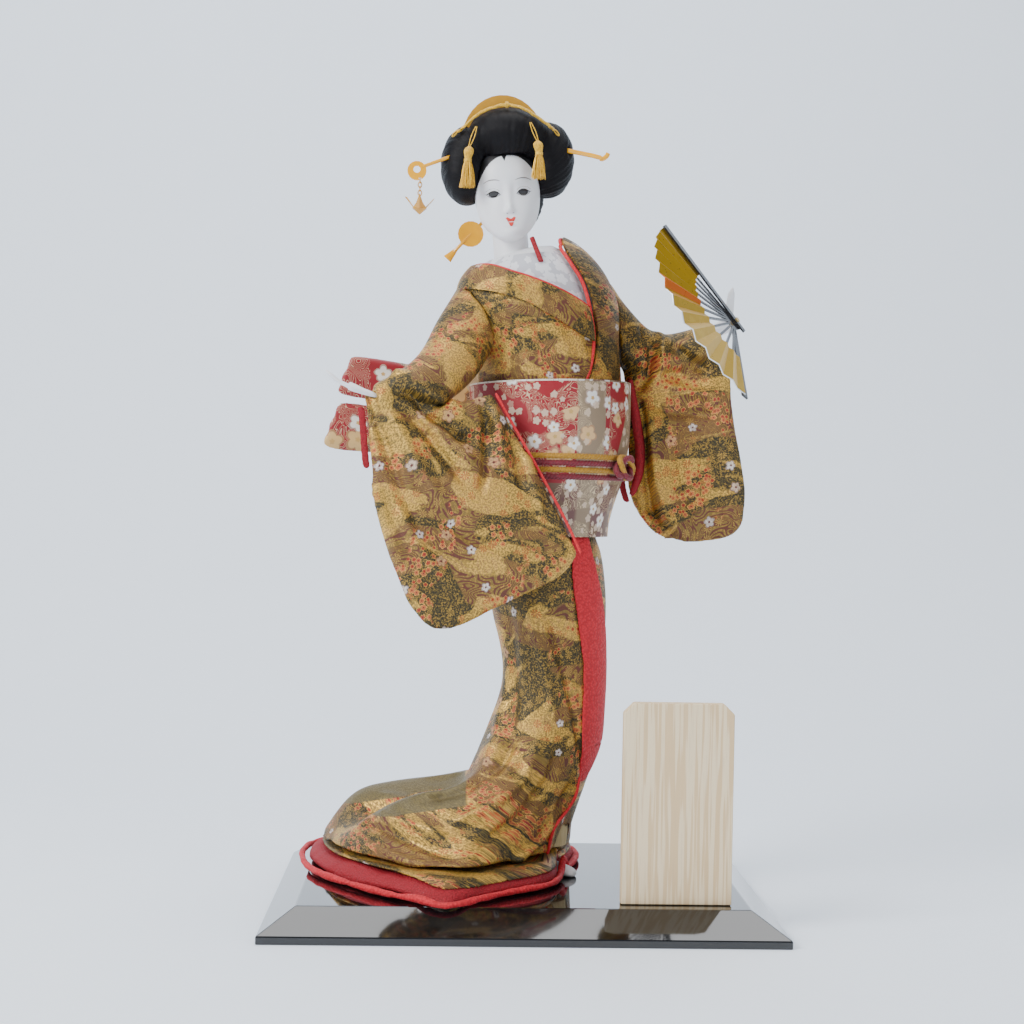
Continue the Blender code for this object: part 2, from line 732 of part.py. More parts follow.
EYE_HOLE = 0.0008
eye_tool = disc("eye_tool", (CHAIN_TOP[0], CHAIN_TOP[1], CHAIN_TOP[2] + 0.0002), EYE_HOLE, 0.004, facets=12)
boolean(pin_flower, eye_tool, "DIFFERENCE")
bpy.data.objects.remove(eye_tool, do_unlink=True)
links = [link(index) for index in range(LINK_COUNT)]
chain_low = CHAIN_TOP[2] + LINK_WIRE * 2 - LINK_TALL * 2 - (LINK_COUNT - 1) * LINK_PITCH
CRANE_RING = 0.00115
CRANE_NECK = 0.0020
crane_top = Vector((CHAIN_TOP[0], CHAIN_TOP[1], chain_low + LINK_WIRE * 2 + GAP))


def crane():
    """A folded paper crane: keel, neck, tail and two wings, each a thin wedge."""
    back = crane_top - Vector((0.0, 0.0, CRANE_NECK))
    keel = back - Vector((0.0, 0.0, CRANE_TALL - CRANE_NECK))
    reach = Vector((CRANE_HALF, 0.0, 0.0))
    out = Vector((0.0, CRANE_DEEP, 0.0))
    low = keel + (back - keel) * 0.35
    wedges = (
        (back, keel, low - reach * 0.45 - out * 0.5, low - reach * 0.45 + out * 0.5, low + reach * 0.45 - out * 0.5,
         low + reach * 0.45 + out * 0.5),
        (low - reach * 0.30 - out * 0.3, low - reach * 0.30 + out * 0.3, keel - reach * 0.05,
         back - reach * 0.98 + Vector((0.0, 0.0, 0.0005)), back - reach * 0.80),
        (low + reach * 0.30 - out * 0.3, low + reach * 0.30 + out * 0.3, keel + reach * 0.05,
         back + reach * 0.95, back + reach * 0.90 - Vector((0.0, 0.0, 0.0012))),
        (low - reach * 0.35 - out * 0.2, low + reach * 0.35 - out * 0.2, low - out * 0.7,
         back - out * 1.9 + Vector((0.0, 0.0, 0.0012)), back - out * 1.7),
        (low - reach * 0.35 + out * 0.2, low + reach * 0.35 + out * 0.2, low + out * 0.7,
         back + out * 1.9 + Vector((0.0, 0.0, 0.0012)), back + out * 1.7),
    )
    made = []
    for points in wedges:
        bm = bmesh.new()
        for point in points:
            bm.verts.new(point)
        bmesh.ops.convex_hull(bm, input=bm.verts)
        made.append(finish("wedge", bm, AMBER, 20.0))
    ring = tube(
        "ring",
        [
            crane_top + Vector((0.0, math.cos(turn) * CRANE_RING, (math.sin(turn) - 1.0) * CRANE_RING))
            for turn in (math.tau * step / 10 for step in range(10))
        ],
        LINK_WIRE, AMBER, 4, closed=True, up=(1.0, 0.0, 0.0),
    )
    return join("crane_charm", made + [ring])


crane_charm = crane()


# Upper garment: turn in degrees from the front, lower and upper edge of the collar band
COLLAR_EDGES = (
    (5.0, 8.95, 9.86), (18.0, 9.18, 10.31), (35.0, 9.70, 10.87), (51.0, 10.28, 11.32),
    (75.0, 10.80, 11.93), (104.0, 11.10, 12.20), (140.0, 11.15, 12.25), (180.0, 11.10, 12.25),
    (215.0, 11.20, 12.40), (250.0, 11.40, 12.65), (280.0, 11.65, 12.90),
)
COLLAR_FRONT_TOP = ((300.0, 13.40), (340.0, 13.35), (358.0, 12.60), (360.0, 11.64), (358.0, 10.75), (360.0, 9.77),
                    (361.0, 9.10), (367.0, 8.45), (376.0, 7.90))
COLLAR_FRONT_LOW = ((300.0, 11.85), (314.0, 12.00), (322.0, 11.60), (324.0, 11.00), (324.0, 10.30), (327.0, 9.60),
                    (333.0, 9.00), (343.0, 8.40), (354.0, 7.90))
NECKLINE = (
    (-40.0, 11.50), (-20.0, 11.10), (-8.0, 10.30), (2.0, 9.25), (18.0, 9.55), (35.0, 10.05), (51.0, 10.65),
    (75.0, 11.15), (104.0, 11.45), (140.0, 11.50), (180.0, 11.45), (215.0, 11.60), (250.0, 11.80),
    (285.0, 12.05), (320.0, 11.50),
)
UNDER_TOP = 12.75
STRIP_ROUTE = ((48.0, 13.40), (40.0, 12.80), (34.0, 12.25), (33.0, 11.85))
STRIP_RADIUS = 0.0011
UNDER_IN = GAP
UNDER_OUT = UNDER_IN + UNDER_COLLAR_THICK
BODICE_IN = UNDER_OUT + GAP * 3
BODICE_OUT = BODICE_IN + BODICE_THICK
COLLAR_IN = BODICE_OUT + GAP * 3
COLLAR_OUT = COLLAR_IN + COLLAR_THICK
OBI_IN = COLLAR_OUT + GAP * 2
OBI_OUT = OBI_IN + OBI_THICK
BODICE_LOW = 0.3000


def neckline(turn_degrees):
    """The upper edge of the bodice at a turn, as a station."""
    rows = [(turn - 360.0, spot) for turn, spot in NECKLINE[-3:]] + list(NECKLINE)
    rows += [(turn + 360.0, spot) for turn, spot in NECKLINE[:3]]
    wrapped = (turn_degrees + 40.0) % 360.0 - 40.0
    for (low, low_spot), (high, high_spot) in zip(rows, rows[1:]):
        if low <= wrapped <= high:
            part = (wrapped - low) / (high - low)
            part = part * part * (3.0 - 2.0 * part)
            return low_spot + (high_spot - low_spot) * part
    return rows[-1][1]


def bodice_surface(out):
    low = spot_at(BODICE_LOW)

    def place(u, v):
        top = neckline(360.0 * u)
        return torso(math.tau * u, low + (top - low) * v, out)
    return place


def under_collar_surface(out):
    def place(u, v):
        low = neckline(360.0 * u) - 0.35
        return torso(math.tau * u, low + (UNDER_TOP - low) * v, out)
    return place


bodice = two_faced("bodice", bodice_surface(BODICE_IN), bodice_surface(BODICE_OUT), COLUMNS, 6, BROCADE, closed=True)
under_collar = two_faced(
    "under_collar", under_collar_surface(UNDER_IN), under_collar_surface(UNDER_OUT), COLUMNS, 2, WHITE_CLOTH, closed=True,
)
make_room(under_collar, head)

collar_tops = [(turn, high) for turn, low, high in COLLAR_EDGES] + list(COLLAR_FRONT_TOP)
collar_lows = [(turn, low) for turn, low, high in COLLAR_EDGES] + list(COLLAR_FRONT_LOW)


def collar_surface(out):
    def place(u, v):
        high_turn, high_spot = through([(*row, 0.0) for row in collar_tops], u)[:2]
        low_turn, low_spot = through([(*row, 0.0) for row in collar_lows], u)[:2]
        turn = low_turn + (high_turn - low_turn) * v
        spot = low_spot + (high_spot - low_spot) * v
        return torso(math.radians(turn), spot, out)
    return place


collar = two_faced("collar", collar_surface(COLLAR_IN), collar_surface(COLLAR_OUT), 44, 2, BROCADE)


def collar_edge(u):
    turn, spot = through([(*row, 0.0) for row in collar_tops], u)[:2]
    inward = 0.09 if spot > 10.0 or turn < 300.0 else 0.0
    sideways = 2.2 if turn > 355.0 else 0.0
    return torso(math.radians(turn + sideways), spot + inward, UNDER_OUT + PIPING_RADIUS + GAP * 2)


piping = tube(
    "collar_piping", [collar_edge(step / 47) for step in range(48)], PIPING_RADIUS, CORAL, 5,
)
make_room(bodice, under_collar)
make_room(collar, bodice)
make_room(piping, collar, bodice, under_collar, head)
strip = tube(
    "collar_strip",
    [
        torso(math.radians(point.x), point.y, UNDER_OUT + STRIP_RADIUS * 0.5 + GAP)
        for point in curve([(*row, 0.0) for row in STRIP_ROUTE], 10)
    ],
    STRIP_RADIUS, CRIMSON, 8, flat=0.5,
)
make_room(strip, under_collar, head)


# Obi, its band, cords and knot
def ring_around(low_height, high_height, out):
    low, high = spot_at(low_height), spot_at(high_height)

    def place(u, v):
        return torso(math.tau * u, low + (high - low) * v, out)
    return place


obi = two_faced(
    "obi", ring_around(OBI_BOTTOM, OBI_TOP, OBI_IN), ring_around(OBI_BOTTOM, OBI_TOP, OBI_OUT), COLUMNS, 5,
    OBI_CLOTH, closed=True,
)
BAND_IN = OBI_OUT + GAP
BAND_OUT = BAND_IN + OBI_BAND_THICK
band = two_faced(
    "obi_top_band", ring_around(OBI_TOP - OBI_BAND_HEIGHT, OBI_TOP, BAND_IN),
    ring_around(OBI_TOP - OBI_BAND_HEIGHT, OBI_TOP, BAND_OUT), COLUMNS, 1, OBI_CREAM, closed=True,
)


def cord_loop(name, height, made_of):
    spot = spot_at(height)
    count = COLUMNS
    path = [torso(math.tau * step / count, spot, OBI_OUT + CORD_RADIUS + GAP) for step in range(count)]
    return tube(name, path, CORD_RADIUS, made_of, 5, closed=True)


CORD_STEP = CORD_RADIUS * 2 + GAP
cord_names = (("obi_cord_1", GOLD_THREAD), ("obi_cord_2", MAROON), ("obi_cord_3", GOLD_THREAD), ("obi_cord_4", MAROON))
obi_cords = [
    cord_loop(name, CORD_TOP - index * CORD_STEP, made_of) for index, (name, made_of) in enumerate(cord_names)
]
KNOT_TURN = math.radians(-14.0)
KNOT_HALF = 0.0105
KNOT_THICK = 0.0034


def obi_knot():
    """The cords' knot: three short hanks crossing over the loops."""
    spot = spot_at(CORD_TOP - CORD_STEP * 1.5)
    middle = torso(KNOT_TURN, spot, OBI_OUT + CORD_RADIUS * 2 + GAP + KNOT_THICK * 0.55)
    facing = Matrix.Rotation(TURN - KNOT_TURN, 4, "Z")
    made = []
    for lean, lift in ((20.0, 0.0), (-24.0, 0.0012), (82.0, -0.0006)):
        bm = bmesh.new()
        bmesh.ops.create_uvsphere(bm, u_segments=10, v_segments=7, radius=1.0)
        shape = Matrix.Diagonal((KNOT_HALF * (0.85 if lean > 50.0 else 1.0), KNOT_THICK, KNOT_THICK * 1.15, 1.0))
        place = Matrix.Translation(middle) @ facing @ Matrix.Rotation(math.radians(lean), 4, "Y")
        bmesh.ops.transform(bm, matrix=place @ Matrix.Translation((0.0, -lift, 0.0)) @ shape, verts=bm.verts)
        made.append(finish("hank", bm, MAROON, 80.0))
    return join("obi_knot", made)


knot = obi_knot()
make_room(knot, *obi_cords, obi)

# Bow at the back: each wing is middle of its root, its tip, root height, tip height
BOW_WINGS = (
    ("bow_wing_upper_right", (-0.0230, 0.0370, 0.3150), (-0.1160, 0.0260, 0.3270), 0.0300, 0.0270),
    ("bow_wing_lower_right", (-0.0230, 0.0370, 0.2840), (-0.1240, 0.0260, 0.2950), 0.0280, 0.0330),
    ("bow_wing_upper_left", (-0.0040, 0.0500, 0.3170), (0.0560, 0.0700, 0.3330), 0.0300, 0.0270),
    ("bow_wing_lower_left", (-0.0040, 0.0500, 0.2860), (0.0540, 0.0700, 0.2780), 0.0280, 0.0330),
)
BOW_THICK = 0.0100
BOW_FLARE = math.radians(14.0)
BOW_WRAP = ((-0.0180, 0.0455, 0.2990), (0.0150, 0.0110, 0.0270))


def bow_wing(name, root, tip, root_tall, tip_tall):
    """A flat folded loop of the bow, wider at its outer end."""
    start, end = Vector(root), Vector(tip)
    along = (end - start).normalized()
    up = Vector((0.0, 0.0, 1.0))
    up = (up - along * up.dot(along)).normalized()
    out = along.cross(up)
    lean = Matrix.Rotation(BOW_FLARE if along.x < 0 else -BOW_FLARE, 3, out)
    rings = []
    for step in range(7):
        part = step / 6
        middle = start + (end - start) * part
        tall = root_tall + (tip_tall - root_tall) * part
        thick = BOW_THICK * (0.75 + 0.5 * math.sin(math.pi * min(1.0, part * 1.1)) - 0.35 * part)
        slant = lean @ up if part > 0.6 else up
        fold = 1.0 + 0.06 * math.sin(part * 9.0)
        ring = []
        for index in range(10):
            turn = math.tau * index / 10
            high = math.cos(turn)
            wide = math.sin(turn)
            high = math.copysign(abs(high) ** 0.55, high)
            ring.append(middle + slant * (high * tall / 2 * fold) + out * (wide * thick / 2))
        rings.append(ring)
    return loft(name, rings, OBI_CLOTH, angle=40.0)


bow_wings = [bow_wing(*row) for row in BOW_WINGS]
bow_wrap = ball("bow_wrap", *BOW_WRAP, OBI_CREAM, 12, 8)
make_room(bow_wrap, obi, band, bodice, *obi_cords)
for wing in bow_wings:
    make_room(wing, bow_wrap, obi, band, bodice, *obi_cords)


# Skirt and train
TRAIN_COLUMNS = 36
TRAIN_STEPS = (0.0, 0.10, 0.21, 0.33, 0.46, 0.60, 0.72, 0.83, 0.91, 0.97, 1.0)


def rest_height(y):
    """The height of the board's top or of its sloping border."""
    over = max(0.0, abs(y) - (half_d - BASE_SLOPE))
    return BASE_HEIGHT - over * (BASE_HEIGHT - BASE_EDGE) / BASE_SLOPE + (GAP * 2 if over > 0.0 else 0.0)


def hem_reach():
    """The hem's distance from the train's middle in each direction, from its outline."""
    points = curve([(*point, 0.0) for point in HEM_OUTLINE], 240, True)
    middle = Vector((*TRAIN_MIDDLE, 0.0))
    polar = sorted((math.atan2((p - middle).y, (p - middle).x), (p - middle).length) for p in points)
    return polar


HEM_POLAR = hem_reach()


def reach(angle):
    wrapped = math.atan2(math.sin(angle), math.cos(angle))
    before = HEM_POLAR[-1][0] - math.tau, HEM_POLAR[-1][1]
    for after in HEM_POLAR + [(HEM_POLAR[0][0] + math.tau, HEM_POLAR[0][1])]:
        if wrapped <= after[0]:
            part = (wrapped - before[0]) / max(after[0] - before[0], 1e-9)
            return before[1] + (after[1] - before[1]) * part
        before = after
    return before[1]


def by_angle(rows, angle):
    """A value given at world angles in degrees, eased between them."""
    wrapped = math.degrees(math.atan2(math.sin(angle), math.cos(angle)))
    for (low, low_value), (high, high_value) in zip(rows, rows[1:]):
        if wrapped <= high:
            part = (wrapped - low) / (high - low)
            part = part * part * (3.0 - 2.0 * part)
            return low_value + (high_value - low_value) * part
    return rows[-1][1]


def ground(angle, inside):
    """A plan point in a direction, a distance inside the hem, at the height the hem rests at."""
    distance = max(reach(angle) - inside, 0.004)
    x = TRAIN_MIDDLE[0] + math.cos(angle) * distance
    y = TRAIN_MIDDLE[1] + math.sin(angle) * distance
    away = (math.degrees(angle) - FOOT_LIFT_ANGLE + 180.0) % 360.0 - 180.0
    lift = FOOT_LIFT * math.exp(-((away / FOOT_LIFT_SPREAD) ** 2))
    return Vector((x, y, rest_height(y) + GAP + lift))


def ease(value):
    value = min(max(value, 0.0), 1.0)
    return value * value * (3.0 - 2.0 * value)


def crimson_top(angle, inside):
    point = ground(angle, inside)
    level = ground(angle, 0.0).z + (BASE_HEIGHT + GAP - ground(angle, 0.0).z) * ease(inside / 0.03)
    return Vector((point.x, point.y, level + CRIMSON_STAND + CRIMSON_RISE * ease(inside / CRIMSON_SLOPE)))


def ridge(row, x, y):
    """How near a plan point is to a crest line, from 0 to 1, times the crest's height."""
    (x0, y0), (x1, y1), spread, height = row
    along = Vector((x1 - x0, y1 - y0))
    part = min(max(Vector((x - x0, y - y0)).dot(along) / along.length_squared, 0.0), 1.0)
    gap = math.hypot(x - x0 - along.x * part, y - y0 - along.y * part)
    return height * math.exp(-((gap / spread) ** 2))


train_angles = [math.tau * step / TRAIN_COLUMNS - math.pi for step in range(TRAIN_COLUMNS)]


def waist_point(angle, half, mid_x, height, out=0.0):
    """A point of the skirt's upper part: nearly round, a little wider across her shoulders' line."""
    local = angle + math.pi / 2 - TURN
    radius = (half + out) * (1.0 + 0.03 * -math.cos(2.0 * local))
    return Vector((mid_x + math.cos(angle) * radius, 0.002 + math.sin(angle) * radius, height))


def skirt_upper(angle, height, out=0.0):
    """The skirt's surface at a height between its stations."""
    rows = SKIRT_STATIONS
    for spot, (high, low) in enumerate(zip(rows, rows[1:])):
        if height >= low[0]:
            break
    part = (high[0] - height) / (high[0] - low[0])
    tall, half, mid_x = through6(rows, spot + min(max(part, 0.0), 1.0))
    return waist_point(angle, half, mid_x, height, out)


def train_point(angle, part):
    """The outer surface from the foot of the column (0) to the skirt's edge (1)."""
    start = skirt_upper(angle, SKIRT_STATIONS[-1][0])
    edge_inside = by_angle(SKIRT_EDGE_INSIDE, angle)
    end = crimson_top(angle, edge_inside)
    end.z += PANEL_THICK + SKIRT_EDGE + GAP * 2
    x = start.x + (end.x - start.x) * part
    y = start.y + (end.y - start.y) * part
    run = math.hypot(end.x - start.x, end.y - start.y)
    outward = (end - Vector((*TRAIN_MIDDLE, end.z))).length - (start - Vector((*TRAIN_MIDDLE, start.z))).length
    steep = start.z + (end.z - start.z) * part
    inside = run * (1.0 - part)
    rise = TRAIN_FLOOR + ridge(FRONT_CREST, x, y) + ridge(BACK_CREST, x, y)
    bed = end.z + (rise - SKIRT_EDGE) * math.sqrt(ease(inside / TRAIN_SHOULDER))
    flat = bed + (start.z - bed) * math.exp(-run * part / TRAIN_FALL) * (1.0 - part)
    blend = ease(outward / 0.05)
    return Vector((x, y, steep + (flat - steep) * blend))


skirt_heights = [row[0] for row in SKIRT_STATIONS[:-1]]
skirt_rings = [[skirt_upper(angle, height) for angle in train_angles] for height in skirt_heights]
skirt_rings += [[train_point(angle, part) for angle in train_angles] for part in TRAIN_STEPS]


def layer_ring(inside_rows, extra, lift):
    ring = []
    for angle in train_angles:
        point = crimson_top(angle, min(by_angle(inside_rows, angle) + extra, reach(angle) * 0.65))
        point.z += lift
        ring.append(point)
    return ring


panel_lift = PANEL_THICK + GAP * 10
skirt_rings.append(layer_ring(SKIRT_EDGE_INSIDE, 0.0, panel_lift))
skirt_rings.append(layer_ring(SKIRT_EDGE_INSIDE, 0.012, panel_lift))
skirt_rings.append(layer_ring(SKIRT_EDGE_INSIDE, 0.2, panel_lift))
skirt = loft("skirt", skirt_rings[::-1], BROCADE, angle=60.0)
PANEL_STEPS = (0.0, 0.0030, 0.0065, 0.0100, 0.2)
panel_rings = [layer_ring(PANEL_EDGE, extra, GAP * 3) for extra in PANEL_STEPS[::-1]]
panel_rings += [layer_ring(PANEL_EDGE, extra, GAP * 3 + PANEL_THICK) for extra in PANEL_STEPS]
under_panel = loft("under_panel", panel_rings, BROCADE, angle=60.0)
crimson_low = [
    [
        Vector((point.x, point.y, ground(angle, inside).z))
        for angle, point in ((angle, crimson_top(angle, min(inside, reach(angle) * 0.65))) for angle in train_angles)
    ]
    for inside in (0.2, 0.020, 0.0040)
]
crimson_up = [
    [crimson_top(angle, min(inside, reach(angle) * 0.65)) for angle in train_angles]
    for inside in (0.0035, 0.0080, 0.0140, 0.024, 0.2)
]
crimson_layer = loft("crimson_layer", crimson_low + crimson_up, CRIMSON, angle=60.0)
HEM_OVER_BORDER = 1.35
hem_path = []
for step in range(72):
    angle = math.tau * step / 72 - math.pi
    point = ground(angle, 0.0)
    near_border = abs(point.y) > half_d - BASE_SLOPE - HEM_RADIUS * 2
    hem_path.append(point + Vector((0.0, 0.0, HEM_RADIUS * (HEM_OVER_BORDER if near_border else 1.0))))
coral_hem = tube("coral_hem", hem_path, HEM_RADIUS, CORAL, 6, closed=True)
make_room(crimson_layer, coral_hem)
make_room(skirt, core, obi, bow_wrap)
make_room(under_panel, core)
make_room(crimson_layer, core)
make_room(crimson_layer, base, gap=GAP / 2)

# Coral crepe band in front: height, world angle of its left and right edges
FRONT_BAND = (
    (0.2360, -62.0, -40.0), (0.2100, -70.0, -36.0), (0.1800, -65.0, -20.0), (0.1500, -60.0, -8.0),
    (0.1200, -57.0, -5.0), (0.0950, -50.0, -8.0), (0.0760, -42.0, -24.0),
)
BAND_THICK = 0.0014


def front_band_surface(out):
    def place(u, v):
        height, left, right = through([row for row in FRONT_BAND], v)
        angle = math.radians(left + (right - left) * u)
        if height >= SKIRT_STATIONS[-1][0]:
            return skirt_upper(angle, height, out)
        start = skirt_upper(angle, SKIRT_STATIONS[-1][0], out)
        part = (SKIRT_STATIONS[-1][0] - height) / (SKIRT_STATIONS[-1][0] - train_point(angle, 1.0).z)
        low = train_point(angle, part)
        away = Vector((math.cos(angle), math.sin(angle), 0.0)) * out
        return Vector((low.x, low.y, height)) + away if part > 0.02 else start
    return place


front_band = two_faced("front_band", front_band_surface(GAP), front_band_surface(GAP + BAND_THICK), 4, 10, CORAL)
make_room(front_band, skirt, obi)


# Feet in split-toe socks: middle of the heel, direction of the toes
FEET = (("left_foot", (-0.0040, 0.0120), -33.0), ("right_foot", (-0.0160, 0.0310), -12.0))
FOOT_PROFILE = (
    (0.0, 0.30, 0.72), (0.04, 0.62, 1.0), (0.18, 0.80, 1.0), (0.38, 0.78, 0.98), (0.52, 0.84, 0.72),
    (0.70, 1.0, 0.52), (0.85, 0.98, 0.42), (0.96, 0.72, 0.34), (1.0, 0.38, 0.22),
)


def foot(name, heel, heading):
    """One foot: sections from heel to toe with a flat sole."""
    along = Vector((math.cos(math.radians(heading)), math.sin(math.radians(heading)), 0.0))
    side = Vector((-along.y, along.x, 0.0))
    sole = BASE_HEIGHT + GAP
    rings = []
    for part, wide, tall in FOOT_PROFILE:
        middle = Vector((*heel, sole)) + along * (FOOT_LENGTH * part)
        ring = []
        for step in range(12):
            turn = math.tau * step / 12
            across = math.cos(turn) * FOOT_WIDTH / 2 * wide
            up = max(math.sin(turn), -0.25) * FOOT_HEIGHT * tall
            ring.append(middle + side * across + Vector((0.0, 0.0, max(up, 0.0) if up < 0.0008 else up)))
        rings.append(ring)
    return loft(name, rings, WHITE_CLOTH, angle=60.0)


feet = [foot(*row) for row in FEET]
make_room(feet[1], feet[0])
for layer in (under_panel, skirt, coral_hem):
    make_room(layer, *feet, support)
make_room(crimson_layer, under_panel, *feet, support, gap=GAP * 2, solver="MANIFOLD")
for sock in feet:
    make_room(sock, support)

# Fan
FAN_PIVOT = (0.1250, -0.0220, 0.3605)
FAN_FIRST = (-0.620, 0.0, 0.785)
FAN_SECOND = (-0.390, -0.868, -0.308)
FAN_OPEN = math.radians(121.0)
FAN_REACH = 0.0727
FAN_INNER = 0.0360
FAN_TAIL = 0.0085
FAN_PLEATS = 12
PLEAT_DEEP = 0.0013
PAPER_THICK = 0.0004
GUARD_WIDE = 0.0046
GUARD_THICK = 0.0011
RIB_WIDE = 0.0016
RIB_THICK = 0.0009
RIVET_RADIUS = 0.0011
fan_first = Vector(FAN_FIRST).normalized()
fan_second = (Vector(FAN_SECOND) - fan_first * Vector(FAN_SECOND).dot(fan_first)).normalized()
fan_normal = fan_first.cross(fan_second)


def fan_point(turn, distance, out=0.0):
    """A place on the fan: turn from the upper guard, distance from the rivet, out of its plane."""
    flat = fan_first * math.cos(turn) + fan_second * math.sin(turn)
    return Vector(FAN_PIVOT) + flat * distance + fan_normal * out


def stick(name, turn, start, end, wide_start, wide_end, thick, out):
    """A flat bamboo stick of the fan along one direction."""
    along = fan_point(turn, 1.0) - Vector(FAN_PIVOT)
    side = fan_normal.cross(along)
    rings = []
    for distance, wide in ((start, wide_start), (start + 0.0015, wide_start * 1.25), (end, wide_end)):
        middle = fan_point(turn, distance, out)
        rings.append([
            middle + side * (wide / 2 * a) + fan_normal * (thick / 2 * b)
            for a, b in ((-1, -1), (1, -1), (1, 1), (-1, 1))
        ])
    return loft(name, rings, BLACK_BAMBOO, angle=30.0)


layer_step = (GUARD_THICK + RIB_THICK) / 2 + GAP
guard_upper = stick(
    "fan_guard_upper", 0.0, -FAN_TAIL, FAN_REACH, 0.0028, GUARD_WIDE, GUARD_THICK, layer_step,
)
guard_lower = stick(
    "fan_guard_lower", FAN_OPEN, -FAN_TAIL, FAN_REACH, 0.0028, GUARD_WIDE, GUARD_THICK, -layer_step,
)
RIB_HUB = 0.0100
RIB_TAIL = 0.0060
rib_turns = [FAN_OPEN * index / FAN_PLEATS for index in range(1, FAN_PLEATS)]


def ribs_outline(out):
    """All the ribs in one flat shape: the tail round the rivet, then each rib out and back."""
    points = [
        fan_point(rib_turns[0] + (rib_turns[-1] - rib_turns[0]) * step / 7 + math.pi, RIB_TAIL, out)
        for step in range(8)
    ]
    for turn in rib_turns:
        for distance, side in ((RIB_HUB, -1.0), (FAN_INNER - GAP, -1.0), (FAN_INNER - GAP, 1.0), (RIB_HUB, 1.0)):
            spread = math.asin(RIB_WIDE / 2 * 0.98 / distance)
            points.append(fan_point(turn + side * spread, distance, out))
    return points


fan_ribs = loft(
    "fan_ribs", [ribs_outline(-RIB_THICK / 2), ribs_outline(RIB_THICK / 2)], BLACK_BAMBOO, angle=30.0, flat_ends=True,
)
rivet_half = layer_step + GUARD_THICK / 2 + GAP * 2


def rivet_ring(radius, out):
    return [
        Vector(FAN_PIVOT) + fan_normal * out
        + (fan_first * math.cos(turn) + fan_second * math.sin(turn)) * radius
        for turn in (math.tau * step / 10 for step in range(10))
    ]


fan_rivet = loft(
    "fan_rivet",
    [
        rivet_ring(RIVET_RADIUS * 1.5, -rivet_half - 0.0005), rivet_ring(RIVET_RADIUS * 1.5, -rivet_half),
        rivet_ring(RIVET_RADIUS, -rivet_half), rivet_ring(RIVET_RADIUS, rivet_half),
        rivet_ring(RIVET_RADIUS * 1.5, rivet_half), rivet_ring(RIVET_RADIUS * 1.5, rivet_half + 0.0005),
    ],
    GOLD_THREAD, angle=40.0,
)
for piece in (guard_upper, guard_lower, fan_ribs):
    make_room(piece, fan_rivet)


def leaf_surface(side):
    def place(u, v):
        folds = FAN_PLEATS * 2
        swing = abs((u * folds) % 2.0 - 1.0)
        inside = math.sin(math.pi * u) ** 0.25 if 0.0 < u < 1.0 else 0.0
        distance = FAN_INNER + (FAN_REACH - 0.0006 - FAN_INNER) * v
        out = (swing - 0.5) * 2.0 * PLEAT_DEEP * (0.55 + 0.45 * v) * inside + side * PAPER_THICK / 2
        edge = layer_step - GUARD_THICK / 2 - GAP - PAPER_THICK / 2
        out += edge * (1.0 - 2.0 * u) * (abs(1.0 - 2.0 * u) ** 6)
        return fan_point(FAN_OPEN * (0.004 + 0.992 * u), distance, out)
    return place


fan_leaf = two_faced("fan_leaf", leaf_surface(-1.0), leaf_surface(1.0), FAN_PLEATS * 2, 1, FAN_GOLD, angle=10.0)
make_room(fan_leaf, guard_upper, guard_lower)

# Hands: wrist, knuckles, finger tips by finger, thumb
HAND_WIDE = 0.0084
HAND_THICK = 0.0044
FINGER_RADIUS = 0.00155


def hand(name, wrist, knuckle, tip, across, curl, spread):
    """A slim hand: a flattened palm, four tapering fingers held together and a thumb."""
    start, middle, end = Vector(wrist), Vector(knuckle), Vector(tip)
    way = (middle - start).normalized()
    side = (Vector(across) - way * Vector(across).dot(way)).normalized()
    over = way.cross(side)
    palm_path = curve([start, start.lerp(middle, 0.5), middle], 5)
    made = [
        tube(
            "palm", palm_path, lambda part: HAND_WIDE / 2 * (0.62 + 0.38 * math.sin(math.pi / 2 * part)), SKIN, 10,
            flat=HAND_THICK / HAND_WIDE, up=tuple(over),
        )
    ]
    for index in range(4):
        place = (index - 1.5) / 1.5
        root = middle + side * (place * (HAND_WIDE / 2 - FINGER_RADIUS)) - way * 0.0015
        length = 1.0 - 0.16 * abs(place - 0.25)
        far = middle + (end - middle) * length + side * place * spread
        bend = root.lerp(far, 0.55) + over * curl * (1.0 + 0.3 * place)
        path = curve([root, bend, far], 6)
        made.append(tube("finger", path, lambda part: FINGER_RADIUS * (1.0 - 0.38 * part), SKIN, 6))
    thumb_root = start.lerp(middle, 0.45) + side * HAND_WIDE * 0.38
    thumb_far = middle + side * HAND_WIDE * 0.70 - over * 0.0015
    made.append(tube(
        "thumb", curve([thumb_root, thumb_root.lerp(thumb_far, 0.5) + side * 0.001, thumb_far], 5),
        lambda part: FINGER_RADIUS * (1.15 - 0.4 * part), SKIN, 6,
    ))
    return join(name, made)


right_hand = hand(
    "right_hand", (-0.0900, -0.0640, 0.3080), (-0.1065, -0.0675, 0.3130), (-0.1205, -0.0690, 0.3225),
    (0.15, 1.0, 0.1), 0.0012, 0.0012,
)
left_hand = hand(
    "left_hand", (0.1070, 0.0005, 0.3495), (0.1228, -0.0150, 0.3625), (0.1240, -0.0175, 0.3830),
    (1.0, 0.2, -0.2), -0.0015, 0.0016,
)
make_room(left_hand, guard_upper, guard_lower, fan_ribs, fan_rivet)

